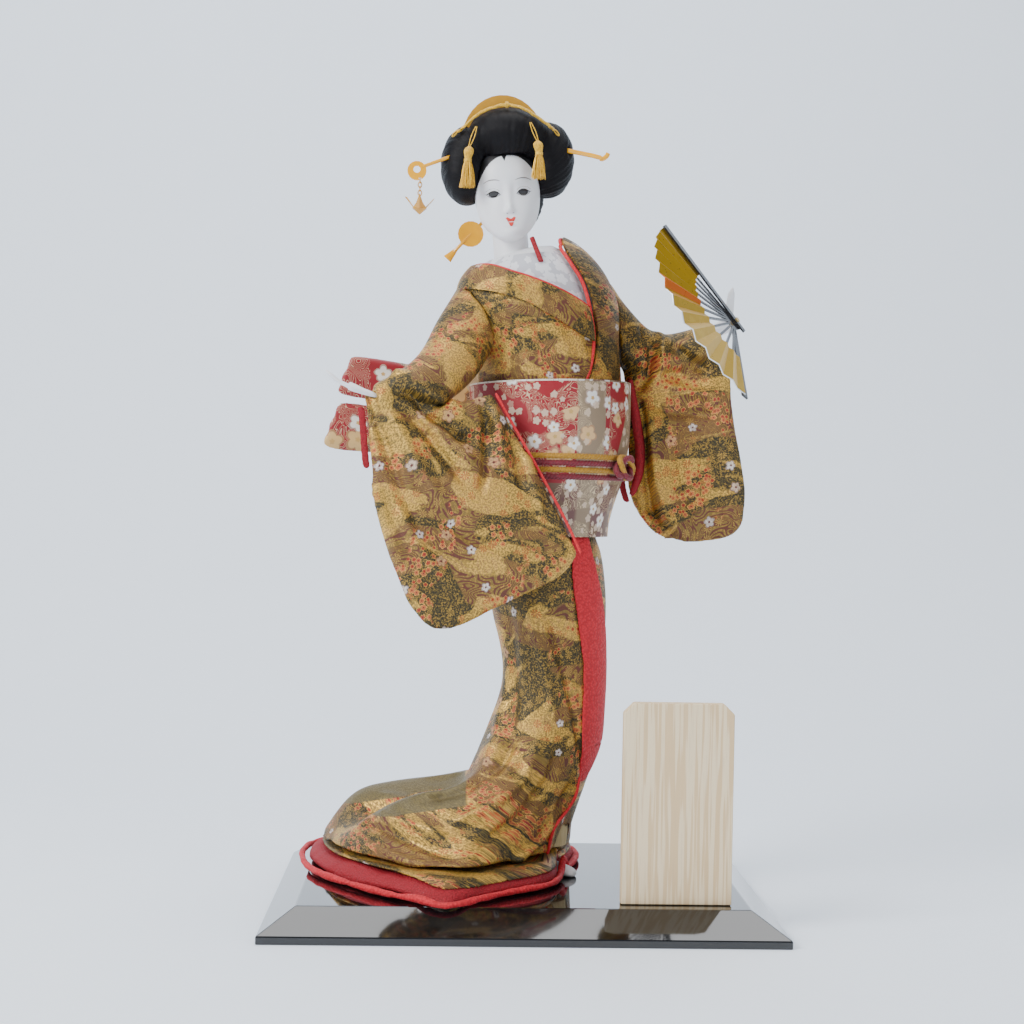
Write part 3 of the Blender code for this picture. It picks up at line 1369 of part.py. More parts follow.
# Sleeves: outlines of the hanging part as (x, z), and the arm inside the upper part
RIGHT_TOP = ((-0.0985, 0.3130), (-0.0850, 0.3060), (-0.0620, 0.3020), (-0.0420, 0.3060), (-0.0230, 0.3120))
RIGHT_SIDE = ((-0.0230, 0.3120), (-0.0120, 0.2930), (0.0000, 0.2728), (0.0183, 0.2407), (0.0295, 0.2180))
RIGHT_BOTTOM = ((-0.0700, 0.1870), (-0.0570, 0.1730), (-0.0420, 0.1730), (-0.0160, 0.1865), (0.0180, 0.2030),
                (0.0295, 0.2180))
RIGHT_CUFF = ((-0.0985, 0.3130), (-0.0955, 0.2940), (-0.0925, 0.2650), (-0.0850, 0.2250), (-0.0700, 0.1870))
RIGHT_DEPTH = (-0.0640, -0.0560)
RIGHT_ARM = (
    ((-0.0250, -0.0130, 0.3740), 0.0190), ((-0.0380, -0.0280, 0.3520), 0.0195),
    ((-0.0500, -0.0440, 0.3280), 0.0185), ((-0.0680, -0.0570, 0.3130), 0.0150),
    ((-0.0910, -0.0630, 0.3060), 0.0095),
)
LEFT_TOP = ((0.0600, 0.3500), (0.0760, 0.3480), (0.0950, 0.3440), (0.1140, 0.3440), (0.1270, 0.3480))
LEFT_SIDE = ((0.1270, 0.3480), (0.1290, 0.3100), (0.1340, 0.2830), (0.1385, 0.2580), (0.1370, 0.2370))
LEFT_BOTTOM = ((0.0690, 0.2480), (0.0830, 0.2310), (0.1000, 0.2245), (0.1200, 0.2255), (0.1320, 0.2300),
               (0.1370, 0.2370))
LEFT_CUFF = ((0.0600, 0.3500), (0.0620, 0.3250), (0.0650, 0.2880), (0.0650, 0.2620), (0.0690, 0.2480))
LEFT_DEPTH = (0.0180, 0.0040)
LEFT_ARM = (
    ((0.0380, 0.0130, 0.3780), 0.0170), ((0.0560, 0.0160, 0.3560), 0.0165),
    ((0.0760, 0.0160, 0.3430), 0.0150), ((0.0960, 0.0080, 0.3440), 0.0130),
    ((0.1110, -0.0020, 0.3510), 0.0100),
)
SLEEVE_RIM = 0.0022
SLEEVE_BULGE = 0.0075
SLEEVE_WAVE = 0.0026


def patch(top, right, bottom, left, u, v):
    """A point of the sheet between four edges, all given as (x, z)."""
    def at(rows, part):
        return through([(*row, 0.0) for row in rows], part)

    a, b, c, d = at(top, 0.0), at(top, 1.0), at(bottom, 0.0), at(bottom, 1.0)
    across = at(top, u) * (1.0 - v) + at(bottom, u) * v
    down = at(left, v) * (1.0 - u) + at(right, v) * u
    corners = (a * (1.0 - u) + b * u) * (1.0 - v) + (c * (1.0 - u) + d * u) * v
    return across + down - corners


def sleeve_surface(edges, depth, waves, face):
    """One face of a hanging sleeve; face is -1 for the side towards the viewer and 1 behind."""
    def place(u, v):
        flat = patch(*edges, u, v)
        middle = depth[0] + (depth[1] - depth[0]) * u
        full = (math.sin(math.pi * u) * math.sin(math.pi * min(1.0, v * 0.9 + 0.1))) ** 0.6
        fall = sum(
            height * math.exp(-(((u - at - lean * (v - 0.5)) / width) ** 2)) * (0.3 + 0.7 * full)
            for at, lean, width, height in waves
        )
        return Vector((flat.x, middle + face * (SLEEVE_RIM / 2 + SLEEVE_BULGE * full) - fall, flat.y))
    return place


RIGHT_WAVES = ((0.30, -0.35, 0.10, SLEEVE_WAVE), (0.62, 0.25, 0.09, SLEEVE_WAVE), (0.85, 0.30, 0.07, -SLEEVE_WAVE))
LEFT_WAVES = ((0.30, 0.15, 0.09, SLEEVE_WAVE), (0.55, 0.10, 0.08, -SLEEVE_WAVE), (0.80, 0.10, 0.09, SLEEVE_WAVE))


def arm_tube(rows, made_of):
    path = [through([row[0] for row in rows], step / 9) for step in range(10)]
    sizes = [(row[1], 0.0, 0.0) for row in rows]
    return tube("arm", path, lambda part: through(sizes, part).x, made_of, 12, up=(0.0, 1.0, 0.0))


def sleeve(name, edges, depth, waves, arm_rows, rows, columns):
    hanging = two_faced(
        "hanging", sleeve_surface(edges, depth, waves, 1.0), sleeve_surface(edges, depth, waves, -1.0),
        columns, rows, BROCADE,
    )
    return join(name, [hanging, arm_tube(arm_rows, BROCADE)])


body_tool = two_faced(
    "body_tool", ring_around(0.080, 0.3985, -0.02), ring_around(0.080, 0.3985, COLLAR_OUT), COLUMNS, 16, BROCADE,
    closed=True,
)
cords_low = CORD_TOP - CORD_STEP * 4
cords_tool = two_faced(
    "cords_tool", ring_around(cords_low, CORD_TOP + CORD_STEP, OBI_IN),
    ring_around(cords_low, CORD_TOP + CORD_STEP, OBI_OUT + CORD_RADIUS * 2 + GAP), COLUMNS, 1, MAROON, closed=True,
)
right_sleeve = sleeve(
    "right_sleeve", (RIGHT_TOP, RIGHT_SIDE, RIGHT_BOTTOM, RIGHT_CUFF), RIGHT_DEPTH, RIGHT_WAVES, RIGHT_ARM, 14, 14,
)
left_sleeve = sleeve(
    "left_sleeve", (LEFT_TOP, LEFT_SIDE, LEFT_BOTTOM, LEFT_CUFF), LEFT_DEPTH, LEFT_WAVES, LEFT_ARM, 12, 12,
)
make_room(right_sleeve, body_tool, head, collar, obi, band, cords_tool, *bow_wings, right_hand)
make_room(
    left_sleeve, body_tool, head, collar, obi, band, cords_tool, left_hand, guard_lower, fan_leaf, fan_ribs,
    solver="MANIFOLD",
)
bpy.data.objects.remove(body_tool, do_unlink=True)

# Crimson linings that show at the sleeve openings, and the coral piping of the near sleeve
LINING_THICK = 0.0012
LINING_SHOW = 0.0050


def lining_surface(rows, depth, start, end, width, out):
    def place(u, v):
        point = through([(*row, 0.0) for row in rows], start + (end - start) * v)
        return Vector((point.x - GAP * 2 + width * u, depth + out, point.y))
    return place


right_lining = two_faced(
    "right_sleeve_lining",
    lining_surface(RIGHT_CUFF, RIGHT_DEPTH[0], 0.16, 0.50, -LINING_SHOW, LINING_THICK + GAP),
    lining_surface(RIGHT_CUFF, RIGHT_DEPTH[0], 0.16, 0.50, -LINING_SHOW, GAP), 1, 8, CRIMSON,
)
left_lining = two_faced(
    "left_sleeve_lining",
    lining_surface(LEFT_CUFF, LEFT_DEPTH[0], 0.15, 0.98, -LINING_SHOW, LINING_THICK + GAP),
    lining_surface(LEFT_CUFF, LEFT_DEPTH[0], 0.15, 0.98, -LINING_SHOW, GAP), 1, 10, CRIMSON,
)
make_room(left_lining, obi, band, cords_tool, bodice, collar)
bpy.data.objects.remove(cords_tool, do_unlink=True)
right_edge = [
    Vector((point.x + PIPING_RADIUS + GAP * 2, RIGHT_DEPTH[1], point.y))
    for point in curve([(*row, 0.0) for row in RIGHT_SIDE], 14)
]
sleeve_piping = tube("right_sleeve_piping", right_edge, PIPING_RADIUS, CORAL, 6)
make_room(sleeve_piping, obi, band, obi_cords[0])
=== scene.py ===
# %% Load the solid model
import math

import bpy
import numpy as np
from mathutils import Matrix, Vector


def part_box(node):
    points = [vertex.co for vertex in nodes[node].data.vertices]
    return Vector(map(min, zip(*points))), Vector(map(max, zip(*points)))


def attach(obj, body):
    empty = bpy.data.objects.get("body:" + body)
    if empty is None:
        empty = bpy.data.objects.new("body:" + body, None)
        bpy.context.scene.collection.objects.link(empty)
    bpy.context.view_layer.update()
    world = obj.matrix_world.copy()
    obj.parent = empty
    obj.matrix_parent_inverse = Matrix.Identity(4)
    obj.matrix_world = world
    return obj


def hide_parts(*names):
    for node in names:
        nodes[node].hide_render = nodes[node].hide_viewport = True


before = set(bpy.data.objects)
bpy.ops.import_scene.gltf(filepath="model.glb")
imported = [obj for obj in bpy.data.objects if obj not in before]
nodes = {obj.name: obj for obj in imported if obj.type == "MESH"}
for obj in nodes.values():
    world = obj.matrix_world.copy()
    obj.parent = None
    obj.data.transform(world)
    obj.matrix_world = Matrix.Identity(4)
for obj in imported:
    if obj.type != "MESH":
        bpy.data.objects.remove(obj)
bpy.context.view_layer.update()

# %% [markdown]
# Every piece that is made below rides on one of the two bodies of the doll: the doll itself, or the
# little charm that swings from her hair stick. These helpers deselect what the last step left
# selected, and hand a finished piece over to its body and its finish.


def clear_selection():
    if bpy.context.object and bpy.context.object.mode != "OBJECT":
        bpy.ops.object.mode_set(mode="OBJECT")
    bpy.ops.object.select_all(action="DESELECT")


def pick(piece):
    clear_selection()
    piece.select_set(True)
    bpy.context.view_layer.objects.active = piece


def dress(piece, material, stands_for=(), body="doll"):
    """Gives a piece its finish and its body, and hides the solids that it stands for."""
    piece.data.materials.clear()
    piece.data.materials.append(material)
    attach(piece, body)
    if stands_for:
        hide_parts(*stands_for)
    return piece


def apply_all(piece):
    """Applies the modifiers of a piece from the top of its list down."""
    pick(piece)
    for step in list(piece.modifiers):
        bpy.ops.object.modifier_apply(modifier=step.name)


def copy_solid(node, name):
    """A copy of a solid of the model, with its loose triangles merged."""
    made = nodes[node].copy()
    made.data = nodes[node].data.copy()
    made.name = name
    made.data.name = name
    for key in [key for key in made.keys() if key.startswith("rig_")]:
        del made[key]
    made.parent = None
    bpy.context.scene.collection.objects.link(made)
    pick(made)
    bpy.ops.object.mode_set(mode="EDIT")
    bpy.ops.mesh.select_all(action="SELECT")
    bpy.ops.mesh.remove_doubles(threshold=0.00002)
    bpy.ops.object.mode_set(mode="OBJECT")
    return made


def grid_sheet(name, surface, columns, rows, closed=False):
    """A sheet of quads over a surface of (u, v), with its own flat map in metres."""
    points = []
    flats = []
    for row in range(rows + 1):
        for col in range(columns + 1):
            point, flat = surface(col / columns, row / rows)
            points.append(point)
            flats.append(flat)
    faces = []
    for row in range(rows):
        for col in range(columns):
            a = row * (columns + 1) + col
            faces.append((a, a + 1, a + columns + 2, a + columns + 1))
    mesh = bpy.data.meshes.new(name)
    mesh.from_pydata([tuple(point) for point in points], [], faces)
    layer = mesh.uv_layers.new(name="cloth")
    for loop in mesh.loops:
        layer.data[loop.index].uv = flats[loop.vertex_index]
    made = bpy.data.objects.new(name, mesh)
    bpy.context.scene.collection.objects.link(made)
    if closed:
        pick(made)
        bpy.ops.object.mode_set(mode="EDIT")
        bpy.ops.mesh.select_all(action="SELECT")
        bpy.ops.mesh.remove_doubles(threshold=0.00001)
        bpy.ops.object.mode_set(mode="OBJECT")
    return made


def thicken(piece, thickness, inwards=True):
    step = piece.modifiers.new("cloth_thickness", "SOLIDIFY")
    step.thickness = thickness
    step.offset = -1.0 if inwards else 1.0
    step.use_rim = True
    apply_all(piece)


def smooth(piece, angle=50.0):
    pick(piece)
    bpy.ops.object.shade_smooth_by_angle(angle=math.radians(angle))


print("helpers ready")

# %% [markdown]
# The camera stands where the photographer stood. Its place, aim and slight roll were worked out
# from the straight edges of the lacquered board, so the picture lines up with the photograph.

# %% Camera
CAMERA_AT = Vector((-0.04516, -1.04437, 0.24719))
CAMERA_YAW = math.radians(-2.031)
CAMERA_PITCH = math.radians(-0.305)
CAMERA_ROLL = math.radians(1.072)
CAMERA_LENS = 59.03
FOCAL_PIXELS = CAMERA_LENS / 36.0 * 1024.0

level_right = Vector((math.cos(CAMERA_YAW), math.sin(CAMERA_YAW), 0.0))
level_ahead = Vector((-math.sin(CAMERA_YAW), math.cos(CAMERA_YAW), 0.0))
ahead = level_ahead * math.cos(CAMERA_PITCH) + Vector((0.0, 0.0, math.sin(CAMERA_PITCH)))
above = level_ahead * -math.sin(CAMERA_PITCH) + Vector((0.0, 0.0, math.cos(CAMERA_PITCH)))
right = level_right * math.cos(CAMERA_ROLL) + above * math.sin(CAMERA_ROLL)
upward = above * math.cos(CAMERA_ROLL) - level_right * math.sin(CAMERA_ROLL)
lens = bpy.data.cameras.new("camera")
lens.lens = CAMERA_LENS
lens.sensor_width = 36.0
lens.clip_start = 0.05
camera = bpy.data.objects.new("camera", lens)
camera.matrix_world = Matrix((
    (right.x, upward.x, -ahead.x, CAMERA_AT.x),
    (right.y, upward.y, -ahead.y, CAMERA_AT.y),
    (right.z, upward.z, -ahead.z, CAMERA_AT.z),
    (0.0, 0.0, 0.0, 1.0),
))
bpy.context.scene.collection.objects.link(camera)
bpy.context.scene.camera = camera
print("camera at", tuple(round(v, 3) for v in CAMERA_AT))

# %% [markdown]
# The doll was photographed on a sheet of pale blue-white paper that curves up behind her. A plane
# is pulled up at its back edge and the fold is bevelled, which gives the same soft horizon. Its
# finish, made with the others further down, glows faintly, so the paper stays pale behind her.

# %% Paper backdrop
clear_selection()
bpy.ops.mesh.primitive_plane_add(size=2.0, location=(0.0, 0.0, 0.0))
backdrop = bpy.context.object
backdrop.name = "paper_backdrop"
bpy.ops.object.mode_set(mode="EDIT")
bpy.ops.mesh.select_all(action="SELECT")
bpy.ops.transform.resize(value=(4.0, 2.2, 1.0))
bpy.ops.transform.translate(value=(0.0, -0.9, 0.0))
bpy.ops.mesh.select_all(action="DESELECT")
bpy.ops.object.mode_set(mode="OBJECT")
for edge in backdrop.data.edges:
    edge.select = all(backdrop.data.vertices[index].co.y > 1.0 for index in edge.vertices)
bpy.ops.object.mode_set(mode="EDIT")
bpy.ops.mesh.select_mode(type="EDGE")
bpy.ops.mesh.extrude_region_move(TRANSFORM_OT_translate={"value": (0.0, 0.0, 3.2)})
bpy.ops.object.mode_set(mode="OBJECT")
for edge in backdrop.data.edges:
    ends = [backdrop.data.vertices[index].co for index in edge.vertices]
    edge.select = all(end.y > 1.0 and end.z < 0.1 for end in ends)
bpy.ops.object.mode_set(mode="EDIT")
bpy.ops.mesh.bevel(offset=0.9, segments=16)
bpy.ops.object.mode_set(mode="OBJECT")
bpy.ops.object.shade_smooth()
print("backdrop points:", len(backdrop.data.vertices))

# %% [markdown]
# The light is soft: a strong panel high on the left, a weaker one on the right, one above, and a
# pale sky that fills the shadows.

# %% Soft lights
LIGHTS = (
    ("window_left", (-1.6, -1.1, 1.35), 1.0, 58.0),
    ("window_right", (1.5, -1.3, 1.0), 1.4, 14.0),
    ("ceiling", (0.1, 0.1, 1.9), 1.2, 24.0),
)
for name, place, size, power in LIGHTS:
    lamp = bpy.data.lights.new(name, "AREA")
    lamp.shape = "SQUARE"
    lamp.size = size
    lamp.energy = power
    holder = bpy.data.objects.new(name, lamp)
    holder.location = place
    holder.rotation_mode = "QUATERNION"
    holder.rotation_quaternion = (Vector((0.0, 0.0, 0.22)) - Vector(place)).to_track_quat("-Z", "Y")
    bpy.context.scene.collection.objects.link(holder)
sky = bpy.data.worlds.new("pale_room")
sky.use_nodes = True
sky.node_tree.nodes["Background"].inputs["Color"].default_value = (0.80, 0.88, 1.0, 1.0)
sky.node_tree.nodes["Background"].inputs["Strength"].default_value = 0.36
bpy.context.scene.world = sky
print("lights:", len(LIGHTS))

# %% [markdown]
# A finish is a small network of nodes. This class keeps the networks short to write: it adds a
# node, links what is a socket and sets what is a number, and hands back the node's output.

# %% Node helper


class Graph:
    def __init__(self, tree):
        self.tree = tree

    def add(self, kind, inputs=None, **settings):
        made = self.tree.nodes.new(kind)
        for key, value in settings.items():
            setattr(made, key, value)
        for key, value in (inputs or {}).items():
            if isinstance(value, bpy.types.NodeSocket):
                self.tree.links.new(value, made.inputs[key])
            else:
                made.inputs[key].default_value = value
        return made

    def math(self, operation, a, b=0.0, clamp=False):
        return self.add("ShaderNodeMath", {0: a, 1: b}, operation=operation, use_clamp=clamp).outputs[0]

    def step(self, value, low, high):
        """0 below low, 1 above high, smooth between; low may be above high."""
        return self.add(
            "ShaderNodeMapRange", {"Value": value, "From Min": low, "From Max": high},
            interpolation_type="SMOOTHSTEP",
        ).outputs["Result"]

    def mix(self, factor, a, b):
        made = self.add("ShaderNodeMix", None, data_type="RGBA")
        for socket, value in ((made.inputs[0], factor), (made.inputs[6], a), (made.inputs[7], b)):
            if isinstance(value, bpy.types.NodeSocket):
                self.tree.links.new(value, socket)
            else:
                socket.default_value = value if isinstance(value, float) else (*value, 1.0)
        return made.outputs[2]

    def blend(self, factor, a, b):
        made = self.add("ShaderNodeMix", {0: factor, 2: a, 3: b}, data_type="FLOAT")
        return made.outputs[0]

    def noise(self, place, scale, detail=2.0, rough=0.5, warp=0.0, flat=False):
        return self.add(
            "ShaderNodeTexNoise",
            {"Vector": place, "Scale": scale, "Detail": detail, "Roughness": rough, "Distortion": warp},
            noise_dimensions="2D" if flat else "3D",
        ).outputs["Fac"]

    def vector(self, operation, a, b=None, scale=None):
        inputs = {0: a}
        if b is not None:
            inputs[1] = b
        if scale is not None:
            inputs[3] = scale
        return self.add("ShaderNodeVectorMath", inputs, operation=operation)

    def split(self, place):
        return self.add("ShaderNodeSeparateXYZ", {0: place}).outputs


def start_group(name, inputs, outputs):
    """A node group with named sockets; returns it with its graph, its way in and its way out."""
    tree = bpy.data.node_groups.new(name, "ShaderNodeTree")
    kinds = {"V": "NodeSocketVector", "C": "NodeSocketColor", "F": "NodeSocketFloat"}
    for label, kind, value in inputs:
        socket = tree.interface.new_socket(label, in_out="INPUT", socket_type=kinds[kind])
        if value is not None:
            socket.default_value = value
    for label, kind in outputs:
        tree.interface.new_socket(label, in_out="OUTPUT", socket_type=kinds[kind])
    way_in = tree.nodes.new("NodeGroupInput")
    way_out = tree.nodes.new("NodeGroupOutput")
    return tree, Graph(tree), way_in.outputs, way_out.inputs


def start_material(name, roughness, metallic=0.0, **sockets):
    """A material with a plain shader; returns it with its graph and its shader."""
    made = bpy.data.materials.new(name)
    made.use_nodes = True
    shader = made.node_tree.nodes["Principled BSDF"]
    shader.inputs["Roughness"].default_value = roughness
    shader.inputs["Metallic"].default_value = metallic
    for label, value in sockets.items():
        shader.inputs[label.replace("_", " ")].default_value = value
    return made, Graph(made.node_tree), shader


def bump(graph, shader, height, strength, distance):
    made = graph.add("ShaderNodeBump", {"Height": height, "Strength": strength, "Distance": distance})
    graph.tree.links.new(made.outputs[0], shader.inputs["Normal"])


def place_of(graph, layer=None):
    """The piece's own flat map by name, or its place in the model."""
    if layer:
        return graph.add("ShaderNodeUVMap", None, uv_map=layer).outputs[0]
    return graph.add("ShaderNodeTexCoord").outputs["Object"]


print("node helper ready")

# %% [markdown]
# Two things are shared by most cloths. The first is the weave itself, fine ribs crossing each
# other with a little unevenness. The second is a scatter of five-petalled blossoms, each cell of a
# Voronoi pattern holding one flower or none.

# %% Groups: weave and blossoms


def weave_group():
    tree, g, way_in, way_out = start_group(
        "cloth_weave", [("Place", "V", None), ("Threads", "F", 900.0)], [("Height", "F"), ("Uneven", "F")],
    )
    x, y, _ = g.split(way_in["Place"])
    across = g.math("SINE", g.math("MULTIPLY", g.math("MULTIPLY", x, way_in["Threads"]), 6.2832))
    along = g.math("SINE", g.math("MULTIPLY", g.math("MULTIPLY", y, way_in["Threads"]), 6.2832))
    both = g.math("MULTIPLY", across, along)
    uneven = g.noise(way_in["Place"], 420.0, 3.0, 0.6, flat=True)
    height = g.math("ADD", g.math("MULTIPLY", both, 0.35), uneven)
    g.tree.links.new(height, way_out["Height"])
    g.tree.links.new(uneven, way_out["Uneven"])
    return tree


def blossom_group():
    tree, g, way_in, way_out = start_group(
        "blossom_scatter",
        [("Place", "V", None), ("Cells", "F", 90.0), ("Size", "F", 0.0032), ("Share", "F", 0.5)],
        [("Petals", "F"), ("Outline", "F"), ("Centre", "F"), ("Pick", "F")],
    )
    cells = g.add(
        "ShaderNodeTexVoronoi", {"Vector": way_in["Place"], "Scale": way_in["Cells"], "Randomness": 0.85},
        voronoi_dimensions="2D", feature="F1",
    )
    local = g.vector("SUBTRACT", way_in["Place"], cells.outputs["Position"]).outputs[0]
    x, y, _ = g.split(local)
    radius = g.math("SQRT", g.math("ADD", g.math("MULTIPLY", x, x), g.math("MULTIPLY", y, y)))
    chance = g.add("ShaderNodeSeparateColor", {0: cells.outputs["Color"]}).outputs
    turn = g.math("ADD", g.math("ARCTAN2", y, x), g.math("MULTIPLY", chance[2], 6.2832))
    lobes = g.math("ABSOLUTE", g.math("COSINE", g.math("MULTIPLY", turn, 2.5)))
    reach = g.math("MULTIPLY", g.math("ADD", g.math("MULTIPLY", lobes, 0.34), 0.66), way_in["Size"])
    reach = g.math("MULTIPLY", reach, g.math("ADD", g.math("MULTIPLY", chance[1], 0.5), 0.65))
    part = g.math("DIVIDE", radius, reach)
    there = g.step(g.math("SUBTRACT", way_in["Share"], chance[0]), -0.01, 0.01)
    petals = g.math("MULTIPLY", g.step(part, 1.0, 0.90), there)
    inner = g.math("MULTIPLY", g.step(part, 0.84, 0.76), there)
    centre = g.math("MULTIPLY", g.step(part, 0.26, 0.18), there)
    g.tree.links.new(petals, way_out["Petals"])
    g.tree.links.new(g.math("SUBTRACT", petals, inner, True), way_out["Outline"])
    g.tree.links.new(centre, way_out["Centre"])
    g.tree.links.new(chance[1], way_out["Pick"])
    return tree


WEAVE = weave_group()
BLOSSOMS = blossom_group()


def use(graph, tree, **inputs):
    made = graph.add("ShaderNodeGroup", None, node_tree=tree)
    for key, value in inputs.items():
        if isinstance(value, bpy.types.NodeSocket):
            graph.tree.links.new(value, made.inputs[key])
        else:
            made.inputs[key].default_value = value
    return made.outputs


print("groups:", len(bpy.data.node_groups))

# %% [markdown]
# The kimono is an olive brocade. Gold thread lies over the ground in clouds, in contour lines like
# the grain of wood, in leaves and in small blossoms. All of it is a common kind of pattern, laid
# out here by noise, so no two places are the same.

# %% Kimono brocade
OLIVE_DARK = (0.018, 0.013, 0.003)
OLIVE = (0.100, 0.070, 0.016)
THREAD_GOLD = (0.50, 0.29, 0.050)
CLOUD_GOLD = (0.78, 0.46, 0.085)
GRAIN_RED = (0.100, 0.015, 0.010)
BLOSSOM_RED = (0.40, 0.030, 0.014)
BLOSSOM_PALE = (0.80, 0.72, 0.66)


def brocade_group():
    tree, g, way_in, way_out = start_group(
        "kimono_brocade", [("Place", "V", None), ("Plain", "F", 0.0)],
        [("Color", "C"), ("Gold", "F"), ("Height", "F")],
    )
    place = way_in["Place"]
    weave = use(g, WEAVE, Place=place, Threads=1100.0)
    speck = g.step(g.noise(place, 900.0, 2.0, 0.7, flat=True), 0.42, 0.60)
    twig = g.step(g.noise(place, 330.0, 2.0, 0.6, 1.2, flat=True), 0.47, 0.55)
    drift = g.add(
        "ShaderNodeMapping", {"Vector": place, "Rotation": (0.0, 0.0, 0.35), "Scale": (0.62, 1.35, 1.0)},
    ).outputs[0]
    ragged = g.math("MULTIPLY", g.math("SUBTRACT", g.noise(place, 420.0, 2.0, 0.6, flat=True), 0.5), 0.085)
    bank = g.math("ADD", g.noise(drift, 36.0, 2.5, 0.55, 0.7, flat=True), ragged)
    cloud = g.step(bank, 0.535, 0.550)
    cloud_edge = g.math("MULTIPLY", cloud, g.step(bank, 0.572, 0.560))
    zone = g.noise(g.vector("ADD", drift, (3.1, 1.7, 0.0)).outputs[0], 30.0, 1.5, 0.5, 0.4, flat=True)
    hills = g.noise(place, 24.0, 2.0, 0.5, 1.4, flat=True)
    lines = g.math("PINGPONG", g.math("MULTIPLY", hills, 34.0), 0.5)
    in_grain = g.step(zone, 0.50, 0.53)
    grain = g.math("MULTIPLY", g.step(lines, 0.29, 0.17), in_grain)
    spray_place = g.vector("ADD", place, (0.7, 5.3, 0.0)).outputs[0]
    sprays = g.step(g.noise(spray_place, 33.0, 1.0, 0.5, flat=True), 0.56, 0.60)
    small = use(g, BLOSSOMS, Place=place, Cells=270.0, Size=0.0019, Share=0.75)
    small_petals = g.math("MULTIPLY", small["Petals"], sprays)
    large = use(g, BLOSSOMS, Place=place, Cells=62.0, Size=0.0040, Share=0.20)
    plants = g.add(
        "ShaderNodeTexVoronoi", {"Vector": place, "Scale": 150.0}, voronoi_dimensions="2D", feature="F1",
    )
    local = g.vector("SUBTRACT", place, plants.outputs["Position"]).outputs[0]
    x, y, _ = g.split(local)
    spokes = g.math("SINE", g.math("MULTIPLY", g.math("ARCTAN2", y, x), 9.0))
    chance = g.add("ShaderNodeSeparateColor", {0: plants.outputs["Color"]}).outputs
    leaves = g.math("MULTIPLY", g.step(spokes, 0.1, 0.5), g.step(plants.outputs["Distance"], 0.40, 0.32))
    leaves = g.math("MULTIPLY", leaves, g.step(chance[0], 0.60, 0.62))
    red_leaves = g.math("MULTIPLY", leaves, cloud)
    gold_leaves = g.math("SUBTRACT", leaves, red_leaves, True)
    color = g.mix(speck, OLIVE_DARK, OLIVE)
    color = g.mix(g.math("MULTIPLY", g.math("MULTIPLY", twig, speck), 0.62), color, THREAD_GOLD)
    color = g.mix(g.math("MULTIPLY", in_grain, 0.35), color, THREAD_GOLD)
    color = g.mix(g.math("MULTIPLY", grain, 0.92), color, GRAIN_RED)
    gold = g.math("MULTIPLY", cloud, g.math("ADD", g.math("MULTIPLY", speck, 0.60), 0.28))
    color = g.mix(gold, color, CLOUD_GOLD)
    color = g.mix(g.math("MULTIPLY", cloud_edge, 0.45), color, OLIVE)
    color = g.mix(g.math("MULTIPLY", gold_leaves, 0.7), color, THREAD_GOLD)
    color = g.mix(g.math("MULTIPLY", red_leaves, 0.75), color, BLOSSOM_RED)
    small_tone = g.mix(g.step(small["Pick"], 0.40, 0.60), BLOSSOM_RED, (0.55, 0.13, 0.04))
    color = g.mix(g.math("MULTIPLY", small_petals, 0.85), color, small_tone)
    color = g.mix(g.math("MULTIPLY", g.math("MULTIPLY", small["Outline"], sprays), 0.9), color, CLOUD_GOLD)
    large_tone = g.mix(g.step(large["Pick"], 0.55, 0.65), BLOSSOM_PALE, (0.60, 0.33, 0.14))
    inked = g.math("MULTIPLY", large["Petals"], g.math("ADD", g.math("MULTIPLY", twig, 0.35), 0.5))
    color = g.mix(inked, color, large_tone)
    color = g.mix(g.math("MULTIPLY", large["Outline"], 0.7), color, GRAIN_RED)
    hearts = g.math("MAXIMUM", large["Centre"], g.math("MULTIPLY", small["Centre"], sprays))
    color = g.mix(hearts, color, GRAIN_RED)
    plain_cloth = g.mix(speck, (0.105, 0.078, 0.028), (0.190, 0.145, 0.055))
    color = g.mix(way_in["Plain"], color, plain_cloth)
    thread = g.math("MAXIMUM", gold, g.math("MULTIPLY", g.math("MULTIPLY", twig, speck), 0.7))
    thread = g.math("MAXIMUM", thread, g.math("ADD", g.math("MULTIPLY", speck, 0.30), 0.18))
    thread = g.math("SUBTRACT", thread, g.math("MULTIPLY", g.math("ADD", inked, grain), 0.6), True)
    raised = g.math("ADD", g.math("MULTIPLY", weave["Height"], 0.5), g.math("MULTIPLY", cloud, 0.4))
    raised = g.math("ADD", raised, g.math("MULTIPLY", g.math("ADD", large["Petals"], small_petals), 0.35))
    raised = g.math("ADD", raised, g.math("MULTIPLY", speck, 0.5))
    raised = g.math("SUBTRACT", raised, g.math("MULTIPLY", grain, 0.4))
    g.tree.links.new(color, way_out["Color"])
    g.tree.links.new(thread, way_out["Gold"])
    g.tree.links.new(raised, way_out["Height"])
    return tree


BROCADE_PATTERN = brocade_group()


def brocade(name, turn=0.0, shift=(0.0, 0.0), plain=None):
    """The brocade on a piece's flat map, turned and shifted so that neighbours differ."""
    made, g, shader = start_material(name, 0.5)
    laid = g.add(
        "ShaderNodeMapping",
        {"Vector": place_of(g, "cloth"), "Location": (*shift, 0.0), "Rotation": (0.0, 0.0, turn)},
    ).outputs[0]
    pattern = use(g, BROCADE_PATTERN, Place=laid)
    if plain:
        g.tree.links.new(plain(g), pattern["Color"].node.inputs["Plain"])
    g.tree.links.new(pattern["Color"], shader.inputs["Base Color"])
    g.tree.links.new(g.math("MULTIPLY", pattern["Gold"], 0.85), shader.inputs["Metallic"])
    rough = g.math("SUBTRACT", 0.56, g.math("MULTIPLY", pattern["Gold"], 0.20))
    g.tree.links.new(rough, shader.inputs["Roughness"])
    bump(g, shader, pattern["Height"], 0.6, 0.0003)
    return made


print("brocade nodes:", len(BROCADE_PATTERN.nodes))

